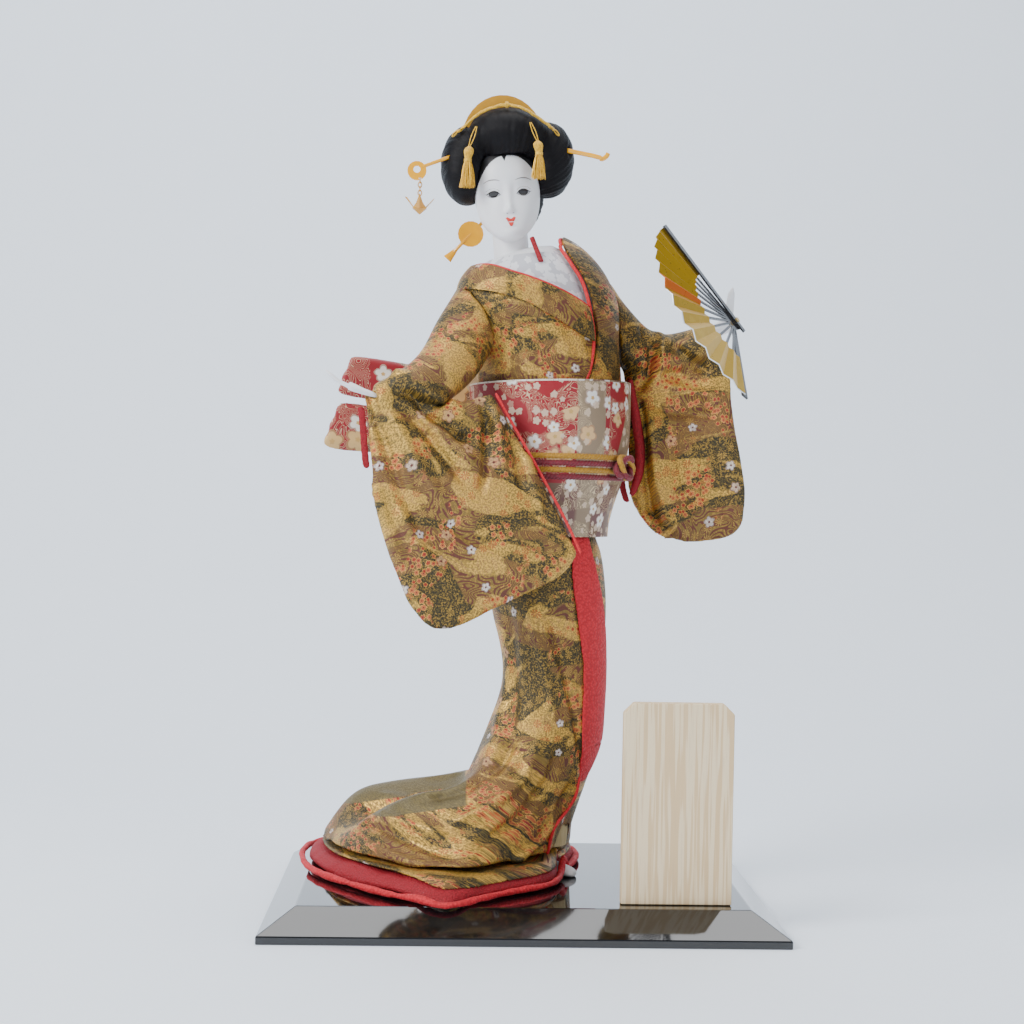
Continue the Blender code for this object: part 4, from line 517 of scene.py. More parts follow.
# %% [markdown]
# The crepe lining has a pebbled face, the crimson silk is smoother, and the white under-collar has
# a faint woven figure.

# %% Crepe, silk and white cloth


def crepe(name, color, deep, scale=700.0, sheen=0.25):
    made, g, shader = start_material(name, 0.72, Sheen_Weight=sheen, Sheen_Roughness=0.4)
    place = place_of(g)
    cells = g.add("ShaderNodeTexVoronoi", {"Vector": place, "Scale": scale}, feature="F1")
    pebble = cells.outputs["Distance"]
    soft = g.noise(place, 130.0, 2.0)
    g.tree.links.new(g.mix(g.step(pebble, 0.15, 0.75), color, deep), shader.inputs["Base Color"])
    bump(g, shader, g.math("SUBTRACT", g.math("MULTIPLY", soft, 0.5), pebble), 0.8, 0.0006)
    return made


def white_cloth(name):
    made, g, shader = start_material(name, 0.75, Sheen_Weight=0.2)
    place = place_of(g, "cloth")
    flowers = use(g, BLOSSOMS, Place=place, Cells=150.0, Size=0.0042, Share=0.85)
    weave = use(g, WEAVE, Place=place, Threads=1200.0)
    g.tree.links.new(
        g.mix(flowers["Petals"], (0.56, 0.565, 0.61), (0.80, 0.805, 0.83)), shader.inputs["Base Color"],
    )
    bump(g, shader, g.math("ADD", weave["Height"], g.math("MULTIPLY", flowers["Petals"], 0.8)), 0.6, 0.0003)
    return made


CORAL_CREPE = crepe("coral_crepe_pebbled", (0.66, 0.014, 0.026), (0.46, 0.005, 0.012), 620.0, 0.06)
CRIMSON_SILK = crepe("crimson_silk", (0.34, 0.002, 0.012), (0.24, 0.001, 0.007), 900.0, 0.0)
PIPING_SILK = crepe("piping_silk", (0.76, 0.026, 0.032), (0.60, 0.014, 0.020), 900.0, 0.04)
UNDER_WHITE = white_cloth("under_collar_cloth")


def sock_cloth():
    made, g, shader = start_material("sock_cotton", 0.85)
    weave = use(g, WEAVE, Place=place_of(g), Threads=1300.0)
    g.tree.links.new(
        g.mix(weave["Uneven"], (0.78, 0.78, 0.80), (0.86, 0.86, 0.87)), shader.inputs["Base Color"],
    )
    bump(g, shader, weave["Height"], 0.5, 0.0003)
    return made


SOCK = sock_cloth()
print("cloths ready")

# %% [markdown]
# The obi is a heavier silk. In front it is red with scrolls and plum blossoms in cream and gold,
# beside a grey-beige panel, and below the cord it turns to taupe. Where each panel starts is read
# from the piece's own map, which counts the way round the waist. The bow behind repeats the red
# with cream fields.

# %% Obi silk
OBI_RED = (0.30, 0.006, 0.014)
OBI_CREAM = (0.70, 0.54, 0.33)
OBI_TAUPE = (0.175, 0.095, 0.055)
OBI_GREY = (0.27, 0.19, 0.115)


def obi_silk(name, cream_share=0.30, cells=60.0):
    """Red silk with scrolls and blossoms, in fields of red, cream and taupe."""
    made, g, shader = start_material(name, 0.48, Sheen_Weight=0.1)
    place = place_of(g, "cloth")
    weave = use(g, WEAVE, Place=place, Threads=800.0)
    fields = g.add(
        "ShaderNodeTexVoronoi", {"Vector": place, "Scale": 32.0, "Randomness": 0.75},
        voronoi_dimensions="2D", feature="F1",
    )
    chance = g.add("ShaderNodeSeparateColor", {0: fields.outputs["Color"]}).outputs
    ground = g.mix(g.step(chance[0], cream_share + 0.01, cream_share), OBI_RED, OBI_CREAM)
    ground = g.mix(g.step(chance[1], 0.27, 0.26), ground, OBI_TAUPE)
    scroll = g.math("PINGPONG", g.math("MULTIPLY", g.noise(place, 55.0, 1.0, 0.5, 1.6, flat=True), 14.0), 0.5)
    scroll = g.math("MULTIPLY", g.step(scroll, 0.13, 0.07), g.step(chance[2], 0.3, 0.5))
    color = g.mix(g.math("MULTIPLY", scroll, 0.85), ground, OBI_CREAM)
    flowers = use(g, BLOSSOMS, Place=place, Cells=cells, Size=0.0085, Share=0.62)
    petals = g.mix(g.step(flowers["Pick"], 0.55, 0.6), (0.80, 0.74, 0.66), (0.66, 0.42, 0.16))
    color = g.mix(flowers["Petals"], color, petals)
    color = g.mix(g.math("MULTIPLY", flowers["Outline"], 0.8), color, (0.30, 0.12, 0.05))
    color = g.mix(flowers["Centre"], color, (0.55, 0.33, 0.10))
    g.tree.links.new(color, shader.inputs["Base Color"])
    g.tree.links.new(g.math("MULTIPLY", scroll, 0.35), shader.inputs["Metallic"])
    raised = g.math("ADD", weave["Height"], g.math("MULTIPLY", flowers["Petals"], 0.6))
    bump(g, shader, raised, 0.5, 0.0003)
    return made


def between(g, value, low, high, soft=0.0004):
    return g.math("MULTIPLY", g.step(value, low - soft, low + soft), g.step(value, high + soft, high - soft))


def obi_front_silk():
    """The wrapped front: u runs round the waist from her front to her right, v is the height."""
    made, g, shader = start_material("obi_front_silk", 0.46)
    place = place_of(g, "cloth")
    weave = use(g, WEAVE, Place=place, Threads=800.0)
    u, v, _ = g.split(place)
    grey_panel = between(g, u, 0.0035, 0.0236)
    slant = g.math("ADD", u, g.math("MULTIPLY", g.math("SUBTRACT", v, 0.2900), 0.35))
    far_panel = between(g, slant, 0.2600, 0.3000)
    upper = g.mix(g.math("MAXIMUM", grey_panel, far_panel), OBI_RED, OBI_GREY)
    patches = g.noise(place, 70.0, 1.0, 0.5, 0.3, flat=True)
    lower = g.mix(g.step(patches, 0.49, 0.52), OBI_TAUPE, (0.150, 0.060, 0.050))
    lower = g.mix(between(g, u, 0.0050, 0.0190, 0.002), lower, OBI_GREY)
    ground = g.mix(g.step(v, 0.2606, 0.2600), upper, lower)
    scroll = g.math("PINGPONG", g.math("MULTIPLY", g.noise(place, 70.0, 1.0, 0.5, 2.2, flat=True), 11.0), 0.5)
    scrolled_parts = g.step(g.noise(place, 45.0, 1.0, flat=True), 0.46, 0.50)
    scroll = g.math("MULTIPLY", g.step(scroll, 0.15, 0.09), scrolled_parts)
    color = g.mix(g.math("MULTIPLY", scroll, 0.85), ground, OBI_CREAM)
    flowers = use(g, BLOSSOMS, Place=place, Cells=82.0, Size=0.0062, Share=0.46)
    petals = g.mix(g.step(flowers["Pick"], 0.62, 0.66), (0.84, 0.80, 0.74), (0.70, 0.44, 0.20))
    color = g.mix(flowers["Petals"], color, petals)
    color = g.mix(g.math("MULTIPLY", flowers["Outline"], 0.75), color, (0.34, 0.15, 0.08))
    color = g.mix(flowers["Centre"], color, (0.55, 0.33, 0.10))
    little_place = g.vector("ADD", place, (0.31, 0.17, 0.0)).outputs[0]
    little = use(g, BLOSSOMS, Place=little_place, Cells=190.0, Size=0.0026, Share=0.34)
    color = g.mix(g.math("MULTIPLY", little["Petals"], 0.85), color, (0.66, 0.50, 0.36))
    g.tree.links.new(color, shader.inputs["Base Color"])
    g.tree.links.new(g.math("MULTIPLY", scroll, 0.35), shader.inputs["Metallic"])
    raised = g.math("ADD", weave["Height"], g.math("MULTIPLY", flowers["Petals"], 0.6))
    bump(g, shader, raised, 0.5, 0.0003)
    return made


OBI_FRONT_SILK = obi_front_silk()
BOW_SILK = obi_silk("bow_silk", cream_share=0.32)


def band_silk():
    made, g, shader = start_material("obi_band_silk", 0.45, Sheen_Weight=0.1)
    place = place_of(g, "cloth")
    x, y, _ = g.split(place)
    check = g.math("MULTIPLY", g.step(g.math("SINE", g.math("MULTIPLY", x, 1900.0)), -0.3, 0.3), 0.5)
    figure = g.step(g.noise(place, 240.0, 2.0, 0.5, 0.6, flat=True), 0.48, 0.54)
    flowers = use(g, BLOSSOMS, Place=place, Cells=150.0, Size=0.0036, Share=0.55)
    ground = g.mix(between(g, x, 0.0236, 0.2600), OBI_TAUPE, (0.80, 0.74, 0.62))
    color = g.mix(g.math("MULTIPLY", figure, 0.30), ground, (0.62, 0.50, 0.30))
    color = g.mix(g.math("MULTIPLY", flowers["Petals"], 0.8), color, (0.84, 0.80, 0.74))
    color = g.mix(g.math("MULTIPLY", flowers["Outline"], 0.8), color, (0.30, 0.10, 0.10))
    color = g.mix(g.math("MULTIPLY", check, 0.2), color, (0.62, 0.50, 0.34))
    g.tree.links.new(color, shader.inputs["Base Color"])
    g.tree.links.new(g.math("MULTIPLY", figure, 0.3), shader.inputs["Metallic"])
    bump(g, shader, g.math("ADD", check, figure), 0.5, 0.0002)
    return made


BAND_SILK = band_silk()
print("obi silks ready")

# %% [markdown]
# Hard finishes: piano-black lacquer on the board, bare softwood with its straight fine grain on
# the tablet, clear amber celluloid on the comb and hair sticks, gold paper and black bamboo on the
# fan, and the matte white of shell powder on the skin.

# %% Hard finishes


def lacquer():
    made, g, shader = start_material("piano_lacquer", 0.05, Coat_Weight=0.6, Coat_Roughness=0.03)
    place = place_of(g)
    dust = g.step(g.noise(place, 900.0, 2.0, 0.7), 0.70, 0.80)
    haze = g.noise(place, 18.0, 3.0)
    g.tree.links.new(
        g.mix(g.math("MULTIPLY", dust, 0.04), (0.0045, 0.0045, 0.0055), (0.3, 0.3, 0.3)),
        shader.inputs["Base Color"],
    )
    g.tree.links.new(g.math("ADD", g.math("MULTIPLY", haze, 0.05), 0.03), shader.inputs["Roughness"])
    return made


def softwood():
    made, g, shader = start_material("plain_softwood", 0.62)
    place = place_of(g)
    stretched = g.vector("MULTIPLY", place, (1.0, 1.0, 0.03)).outputs[0]
    rings = g.noise(stretched, 560.0, 2.0, 0.4)
    pores = g.noise(stretched, 1500.0, 2.0, 0.6)
    broad = g.noise(stretched, 60.0, 1.0)
    color = g.mix(g.step(rings, 0.46, 0.58), (0.86, 0.69, 0.45), (0.70, 0.49, 0.26))
    color = g.mix(g.math("MULTIPLY", broad, 0.35), color, (0.80, 0.62, 0.37))
    color = g.mix(g.math("MULTIPLY", g.step(pores, 0.58, 0.66), 0.25), color, (0.55, 0.41, 0.26))
    g.tree.links.new(color, shader.inputs["Base Color"])
    bump(g, shader, g.math("ADD", rings, pores), 0.25, 0.0002)
    return made


def celluloid(name, color, deep, see_through=0.0):
    made, g, shader = start_material(name, 0.22, Coat_Weight=0.4, Coat_Roughness=0.12)
    cloud = g.noise(place_of(g), 160.0, 3.0)
    g.tree.links.new(g.mix(cloud, deep, color), shader.inputs["Base Color"])
    shader.inputs["Transmission Weight"].default_value = see_through
    bump(g, shader, cloud, 0.15, 0.0003)
    return made


def shell_skin():
    made, g, shader = start_material("shell_powder_skin", 0.42, Subsurface_Weight=0.05)
    place = place_of(g)
    tone = g.noise(place, 60.0, 2.0)
    fine = g.noise(place, 2200.0, 2.0, 0.7)
    g.tree.links.new(g.mix(tone, (0.80, 0.80, 0.82), (0.86, 0.855, 0.86)), shader.inputs["Base Color"])
    bump(g, shader, fine, 0.12, 0.0001)
    return made


def bamboo():
    made, g, shader = start_material("black_bamboo_sticks", 0.22, Coat_Weight=0.5)
    stretched = g.vector("MULTIPLY", place_of(g), (1.0, 1.0, 0.2)).outputs[0]
    grain = g.noise(stretched, 1200.0, 2.0)
    g.tree.links.new(g.mix(grain, (0.010, 0.010, 0.013), (0.028, 0.026, 0.028)), shader.inputs["Base Color"])
    bump(g, shader, grain, 0.2, 0.0002)
    return made


def gold_paper():
    made, g, shader = start_material("gold_leaf_paper", 0.30, 0.85)
    place = place_of(g)
    crinkle = g.noise(place, 420.0, 3.0, 0.6)
    worn = g.step(g.noise(place, 90.0, 2.0), 0.60, 0.72)
    color = g.mix(g.math("MULTIPLY", worn, 0.4), (0.64, 0.37, 0.012), (0.76, 0.48, 0.04))
    from_rivet = g.vector("SUBTRACT", place, (0.1250, -0.0220, 0.3605)).outputs[0]
    first = g.vector("DOT_PRODUCT", from_rivet, (-0.620, 0.0, 0.785)).outputs[1]
    second = g.vector("DOT_PRODUCT", from_rivet, (-0.390, -0.868, -0.308)).outputs[1]
    fan_angle = g.math("ARCTAN2", second, first)
    reach = g.vector("LENGTH", from_rivet).outputs[1]
    orange = g.math("MULTIPLY", g.step(fan_angle, 0.80, 0.82), g.step(fan_angle, 0.97, 0.95))
    color = g.mix(g.math("MULTIPLY", orange, 0.9), color, (0.95, 0.17, 0.008))
    white_edge = g.math("MULTIPLY", g.step(reach, 0.0710, 0.0714), g.step(fan_angle, 0.95, 1.0))
    color = g.mix(white_edge, color, (0.85, 0.86, 0.86))
    g.tree.links.new(color, shader.inputs["Base Color"])
    g.tree.links.new(g.math("ADD", g.math("MULTIPLY", crinkle, 0.22), 0.20), shader.inputs["Roughness"])
    bump(g, shader, crinkle, 0.25, 0.0003)
    return made


def metal(name, color, roughness):
    made, g, shader = start_material(name, roughness, 1.0)
    scratch = g.noise(place_of(g), 900.0, 2.0)
    g.tree.links.new(
        g.mix(scratch, tuple(v * 0.85 for v in color), color), shader.inputs["Base Color"],
    )
    rough = g.math("ADD", g.math("MULTIPLY", scratch, 0.15), roughness - 0.07)
    g.tree.links.new(rough, shader.inputs["Roughness"])
    return made


def backdrop_paper():
    made, g, shader = start_material("pale_blue_paper", 0.85)
    fibres = g.noise(place_of(g), 35.0, 3.0, 0.6)
    g.tree.links.new(g.mix(fibres, (0.80, 0.86, 0.93), (0.84, 0.90, 0.97)), shader.inputs["Base Color"])
    shader.inputs["Emission Color"].default_value = (0.80, 0.88, 1.0, 1.0)
    shader.inputs["Emission Strength"].default_value = 0.16
    return made


backdrop.data.materials.append(backdrop_paper())
LACQUER = lacquer()
SOFTWOOD = softwood()
AMBER = celluloid("comb_amber", (0.72, 0.35, 0.010), (0.50, 0.23, 0.004))
AMBER_BRIGHT = celluloid("pin_amber", (0.95, 0.46, 0.006), (0.82, 0.34, 0.003))
AMBER_PALE = celluloid("charm_amber", (0.90, 0.52, 0.09), (0.78, 0.36, 0.03), 0.35)
SKIN = shell_skin()
BAMBOO = bamboo()
GOLD_PAPER = gold_paper()
STEEL = metal("rod_steel", (0.56, 0.57, 0.58), 0.35)
BRASS = metal("rivet_brass", (0.85, 0.62, 0.25), 0.3)
print("hard finishes ready")

# %% [markdown]
# Thread is what the cords and tassels are made of. It shines along its length. Its fine ribs are
# noise over the piece's place in the model, stretched upright.

# %% Thread finishes


def thread(name, color, deep, roughness=0.38, metallic=0.25):
    made, g, shader = start_material(name, roughness, metallic, Sheen_Weight=0.2)
    place = place_of(g)
    fibre = g.noise(g.vector("MULTIPLY", place, (1.0, 1.0, 0.25)).outputs[0], 2600.0, 2.0, 0.6)
    g.tree.links.new(g.mix(g.step(fibre, 0.35, 0.65), deep, color), shader.inputs["Base Color"])
    bump(g, shader, fibre, 0.5, 0.0003)
    return made


GOLD_THREAD = thread("gold_silk_thread", (0.95, 0.60, 0.045), (0.60, 0.31, 0.012))
MUSTARD_THREAD = thread("mustard_silk_thread", (0.56, 0.28, 0.010), (0.30, 0.14, 0.004), 0.5, 0.1)
MAROON_THREAD = thread("maroon_silk_thread", (0.24, 0.006, 0.022), (0.12, 0.002, 0.010), 0.5, 0.0)


def straw():
    made, g, shader = start_material("bound_straw", 0.85)
    fibre = g.noise(g.vector("MULTIPLY", place_of(g), (1.0, 1.0, 0.05)).outputs[0], 900.0, 2.0)
    g.tree.links.new(g.mix(fibre, (0.42, 0.32, 0.15), (0.66, 0.54, 0.30)), shader.inputs["Base Color"])
    bump(g, shader, fibre, 0.5, 0.0006)
    return made


STRAW = straw()
print("threads ready")

# %% [markdown]
# The upper garment is wrapped round a body that is turned 45 degrees from the viewer. These rows
# describe that body, section by section, as the solid model has it, so each sheet of cloth can be
# laid at its own distance from it.

# %% The body's sections
TURN = math.radians(45.0)
SECTIONS = (
    (0.0345, 0.014, 0.012, 0.017, 0.004, 0.0), (0.070, 0.017, 0.015, 0.017, 0.004, 0.0),
    (0.130, 0.023, 0.021, 0.019, 0.003, 0.0), (0.180, 0.0265, 0.0245, 0.0155, 0.002, 0.0),
    (0.226, 0.0265, 0.0250, 0.0140, 0.002, 0.0), (0.245, 0.0300, 0.0280, 0.0140, 0.002, 0.0),
    (0.267, 0.0360, 0.0335, 0.0145, 0.002, 0.0), (0.290, 0.0395, 0.0355, 0.0150, 0.002, 0.0),
    (0.3205, 0.0405, 0.0360, 0.0145, 0.002, 0.03), (0.345, 0.0435, 0.0350, 0.0120, 0.002, 0.08),
    (0.365, 0.0485, 0.0345, 0.0080, 0.002, 0.14), (0.381, 0.0472, 0.0325, 0.0028, 0.002, 0.155),
    (0.3912, 0.0403, 0.0280, 0.0007, 0.001, 0.155), (0.3998, 0.0278, 0.0195, 0.0002, 0.001, 0.175),
    (0.4055, 0.0130, 0.0100, 0.0030, 0.001, 0.20),
)


def through(rows, spot):
    """Smooth values between rows of numbers, at a fractional row."""
    start = min(max(int(spot), 0), len(rows) - 2)
    part = spot - start
    lists = [rows[min(max(start + step, 0), len(rows) - 1)] for step in (-1, 0, 1, 2)]
    return [
        0.5 * (2.0 * b + (c - a) * part + (2.0 * a - 5.0 * b + 4.0 * c - d) * part**2
               + (3.0 * b - a - 3.0 * c + d) * part**3)
        for a, b, c, d in zip(*lists)
    ]


def along(rows, part):
    return through(rows, min(max(part, 0.0), 1.0) * (len(rows) - 1))


def torso(turn, spot, out=0.0):
    """A point on the body: turn from her front towards her right, spot along the sections."""
    height, wide, deep, mid_x, mid_y, lean = through(SECTIONS, spot)
    last = len(SECTIONS) - 1
    rise = out * max(0.0, spot - (last - 3)) / 3
    reach = out * (1.0 if spot < last - 3 else max(0.35, 1.0 - (spot - last + 3) / 4))
    ahead_by = (deep + reach) * math.cos(turn)
    right_by = (wide + reach) * math.sin(turn)
    x = ahead_by * math.sin(TURN) - right_by * math.cos(TURN)
    y = -ahead_by * math.cos(TURN) - right_by * math.sin(TURN)
    return Vector((mid_x + x, mid_y + y, height + lean * x + rise))


def spot_at(height):
    low, high = 0.0, float(len(SECTIONS) - 1)
    for _ in range(40):
        middle = (low + high) / 2
        if through(SECTIONS, middle)[0] < height:
            low = middle
        else:
            high = middle
    return low


print("sections:", len(SECTIONS))

# %% [markdown]
# A sheet wrapped round the body is a grid of quads between a lower and an upper edge. The cloth
# is given a few soft pulls, where the arms and the obi drag it, and then its thickness.

# %% Bodice, white under-collar and collar
COLLAR_EDGES = (
    (5.0, 8.95, 9.86), (18.0, 9.18, 10.31), (35.0, 9.70, 10.87), (51.0, 10.28, 11.32), (75.0, 10.80, 11.93),
    (104.0, 11.10, 12.20), (140.0, 11.15, 12.25), (180.0, 11.10, 12.25), (215.0, 11.20, 12.40),
    (250.0, 11.40, 12.65), (280.0, 11.65, 12.90),
)
COLLAR_FRONT_TOP = (
    (300.0, 13.40), (340.0, 13.35), (358.0, 12.60), (360.0, 11.64),
    (358.0, 10.75), (360.0, 9.77), (361.0, 9.10),
    (367.0, 8.45), (376.0, 7.90),
)
COLLAR_FRONT_LOW = (
    (300.0, 11.85), (314.0, 12.00), (322.0, 11.60), (324.0, 11.00),
    (324.0, 10.30), (327.0, 9.60), (333.0, 9.00),
    (343.0, 8.40), (354.0, 7.90),
)
NECKLINE = (
    (-40.0, 11.50), (-20.0, 11.10), (-8.0, 10.30), (2.0, 9.25), (18.0, 9.55), (35.0, 10.05), (51.0, 10.65),
    (75.0, 11.15), (104.0, 11.45), (140.0, 11.50), (180.0, 11.45),
    (215.0, 11.60), (250.0, 11.80), (285.0, 12.05),
    (320.0, 11.50),
)
GAP = 0.0003
UNDER_OUT = 0.0014
BODICE_OUT = 0.0041
COLLAR_OUT = 0.0066
OBI_OUT = 0.0098
BAND_OUT = 0.0111


def neckline(degrees):
    wrapped = (degrees + 40.0) % 360.0 - 40.0
    for (low, low_spot), (high, high_spot) in zip(NECKLINE, NECKLINE[1:]):
        if low <= wrapped <= high:
            part = (wrapped - low) / (high - low)
            return low_spot + (high_spot - low_spot) * part * part * (3.0 - 2.0 * part)
    return NECKLINE[-1][1]


def pulls(degrees, spot):
    """Soft folds that run up from the obi to the shoulders."""
    made = 0.0
    for at, lean, wide, deep in (
        (20, 6, 5, 0.0010), (38, 10, 6, 0.0013), (58, -4, 7, 0.0011), (-26, 5, 5, 0.0010),
        (96, 6, 9, 0.0012), (150, 4, 12, 0.0010), (205, -5, 12, 0.0010),
    ):
        gap = (degrees - at - lean * (spot - 9.5) + 180.0) % 360.0 - 180.0
        made += deep * math.exp(-((gap / wide) ** 2))
    return made


def bodice_surface(u, v):
    degrees = 360.0 * u
    low = spot_at(0.3000)
    spot = low + (neckline(degrees) - low) * v
    point = torso(math.radians(degrees), spot, BODICE_OUT + pulls(degrees, spot))
    return point, (math.radians(degrees) * 0.046, point.z)


def under_collar_surface(u, v):
    degrees = 360.0 * u
    low = neckline(degrees) - 0.35
    spot = low + (12.75 - low) * v
    point = torso(math.radians(degrees), spot, UNDER_OUT)
    return point, (math.radians(degrees) * 0.040, point.z)


collar_tops = [(turn, high) for turn, low, high in COLLAR_EDGES] + list(COLLAR_FRONT_TOP)
collar_lows = [(turn, low) for turn, low, high in COLLAR_EDGES] + list(COLLAR_FRONT_LOW)


def collar_surface(u, v):
    high_turn, high_spot = along(collar_tops, u)
    low_turn, low_spot = along(collar_lows, u)
    turn = low_turn + (high_turn - low_turn) * v
    spot = low_spot + (high_spot - low_spot) * v
    crown = 0.0007 * math.sin(math.pi * v)
    return torso(math.radians(turn), spot, COLLAR_OUT + crown), (u * 0.30, v * 0.017)


bodice_cloth = grid_sheet("bodice_cloth", bodice_surface, 160, 40, closed=True)
thicken(bodice_cloth, 0.0016)
smooth(bodice_cloth)
dress(bodice_cloth, brocade("bodice_brocade", 0.15, (0.11, 0.03)), ("bodice",))
under_cloth = grid_sheet("under_collar_white", under_collar_surface, 144, 24, closed=True)
thicken(under_cloth, 0.0008)
smooth(under_cloth)
dress(under_cloth, UNDER_WHITE, ("under_collar",))
collar_cloth = grid_sheet("collar_cloth", collar_surface, 200, 8)
thicken(collar_cloth, 0.0015)
smooth(collar_cloth)
dress(collar_cloth, brocade("collar_brocade", 0.9, (0.31, 0.07)), ("collar",))


print("bodice faces:", len(bodice_cloth.data.polygons))

# %% [markdown]
# Some narrow trims are easiest to place one by one. From the camera's place and lens, a line through
# any pixel of the photograph's frame can be followed until it meets a piece, and a smooth curve is
# then laid through a few such places.

# %% Places seen from the camera
def seen_spot(piece, across, down, out=0.0):
    """The place on a piece that the photograph shows at a pixel of its 1024 x 1024 frame."""
    way = ahead + right * ((across - 512.0) / FOCAL_PIXELS) + upward * ((512.0 - down) / FOCAL_PIXELS)
    hit, place, normal, _ = piece.ray_cast(CAMERA_AT, way.normalized())
    if not hit:
        found, place, normal, _ = piece.closest_point_on_mesh(CAMERA_AT + way.normalized() * 1.04)
    return place + normal * out


def seen_at_depth(across, down, depth):
    """The place that a pixel of the photograph shows at a distance of depth behind her middle."""
    way = ahead + right * ((across - 512.0) / FOCAL_PIXELS) + upward * ((512.0 - down) / FOCAL_PIXELS)
    return CAMERA_AT + way * ((depth - CAMERA_AT.y) / way.y)


def evenly(points, count):
    """Points at even steps along a smooth line through the given ones."""
    made = []
    for step in range(count):
        part = step / (count - 1) * (len(points) - 1)
        index = min(int(part), len(points) - 2)
        t = part - index
        before = points[max(index - 1, 0)]
        start, end = points[index], points[index + 1]
        after = points[min(index + 2, len(points) - 1)]
        made.append(0.5 * (
            start * 2.0 + (end - before) * t + (before * 2.0 - start * 5.0 + end * 4.0 - after) * t**2
            + (start * 3.0 - before - end * 3.0 + after) * t**3
        ))
    return made


print("frame in pixels of lens:", round(FOCAL_PIXELS))

# %% [markdown]
# A coral cord of silk runs inside the collar's edge, and a red strip crosses the white one. Both
# are round bars that follow a path, which is a curve with a bevel, turned into a mesh at the end.

# %% Bars along a path


def rail(name, points, radius, closed=False, sides=5, taper=None):
    """A round bar along points, as a curve with a bevel that is then made a mesh."""
    line = bpy.data.curves.new(name, "CURVE")
    line.dimensions = "3D"
    line.bevel_depth = radius
    line.bevel_resolution = sides
    line.use_fill_caps = True
    spline = line.splines.new("POLY")
    spline.points.add(len(points) - 1)
    for index, point in enumerate(points):
        spline.points[index].co = (*point, 1.0)
        spline.points[index].radius = taper(index / (len(points) - 1)) if taper else 1.0
    spline.use_cyclic_u = closed
    made = bpy.data.objects.new(name, line)
    bpy.context.scene.collection.objects.link(made)
    pick(made)
    bpy.ops.object.convert(target="MESH")
    made = bpy.context.object
    bpy.ops.object.mode_set(mode="EDIT")
    bpy.ops.mesh.select_all(action="SELECT")
    bpy.ops.mesh.remove_doubles(threshold=0.000005)
    bpy.ops.mesh.normals_make_consistent(inside=False)
    bpy.ops.object.mode_set(mode="OBJECT")
    smooth(made, 60.0)
    return made


def collar_edge(u):
    turn, spot = along(collar_tops, u)
    inward = 0.09 if spot > 10.0 or turn < 300.0 else 0.0
    sideways = 2.2 if turn > 355.0 else 0.0
    return torso(math.radians(turn + sideways), spot + inward, COLLAR_OUT - 0.0008)


PIPING_RADIUS = 0.0011
collar_cord = rail("collar_piping_silk", [collar_edge(step / 160) for step in range(161)], PIPING_RADIUS)
dress(collar_cord, PIPING_SILK, ("collar_piping",))
strip_foot = seen_spot(under_cloth, 541, 262, 0.0004)
strip_top = seen_at_depth(532, 238, strip_foot.y + 0.008)
strip_path = [strip_foot.lerp(strip_top, step / 12) for step in range(13)]
red_strip = rail("collar_strip_silk", strip_path, 0.0015)
dress(red_strip, CRIMSON_SILK, ("collar_strip",))
print("piping points:", len(collar_cord.data.vertices))

# %% [markdown]
# The obi is a stiff band of silk, a little wider at its upper edge, where a second narrow band
# lies over it. Its lower half slopes in to the waist.

# %% Obi and its upper band


def obi_surface(u, v):
    low, high = spot_at(0.2275), spot_at(0.3205)
    turn = math.tau * u
    spot = low + (high - low) * v
    degrees = 360.0 * u
    dent = 0.0
    for at, level, wide, deep in ((330, 0.20, 14, 0.0010), (20, 0.35, 10, 0.0007), (60, 0.25, 12, 0.0008)):
        gap = (degrees - at + 180.0) % 360.0 - 180.0
        dent += deep * math.exp(-((gap / wide) ** 2) - ((v - level) / 0.12) ** 2)
    point = torso(turn, spot, OBI_OUT - dent)
    return point, (turn * 0.050, point.z)


def band_surface(u, v):
    low, high = spot_at(0.3100), spot_at(0.3215)
    turn = math.tau * u
    point = torso(turn, low + (high - low) * v, BAND_OUT)
    return point, (turn * 0.050, point.z)


obi_cloth = grid_sheet("obi_silk_wrap", obi_surface, 160, 36, closed=True)
thicken(obi_cloth, 0.0024)
smooth(obi_cloth)
dress(obi_cloth, OBI_FRONT_SILK, ("obi",))
band_cloth = grid_sheet("obi_band_wrap", band_surface, 160, 5, closed=True)
thicken(band_cloth, 0.0010)
smooth(band_cloth)
dress(band_cloth, BAND_SILK, ("obi_top_band",))
print("obi faces:", len(obi_cloth.data.polygons))

# %% [markdown]
# The obi cord is braided from maroon and mustard silk. Each round of it is plaited here from
# strands that wind round each other, and the knot in front is a loop over a loop.

# %% Braided obi cords and knot
CORD_RADIUS = 0.0019
CORD_STEP = CORD_RADIUS * 2 + GAP


def braid_paths(route, closed, strands, turns, reach):
    """Paths that wind round a route; reach is how far each one stands off."""
    count = len(route)
    paths = [[] for _ in range(strands)]
    for index, point in enumerate(route):
        after = route[(index + 1) % count] if closed else route[min(index + 1, count - 1)]
        before = route[index - 1] if closed else route[max(index - 1, 0)]
        way = (after - before).normalized()
        side = way.cross(Vector((0.0, 0.0, 1.0)))
        side = side.normalized() if side.length > 0.01 else Vector((1.0, 0.0, 0.0))
        top = side.cross(way)
        for strand in range(strands):
            angle = math.tau * (turns * index / count + strand / strands)
            paths[strand].append(point + side * math.cos(angle) * reach + top * math.sin(angle) * reach)
    return paths


def joined(name, parts):
    clear_selection()
    for part in parts:
        part.select_set(True)
    bpy.context.view_layer.objects.active = parts[0]
    bpy.ops.object.join()
    parts[0].name = name
    parts[0].data.name = name
    return parts[0]


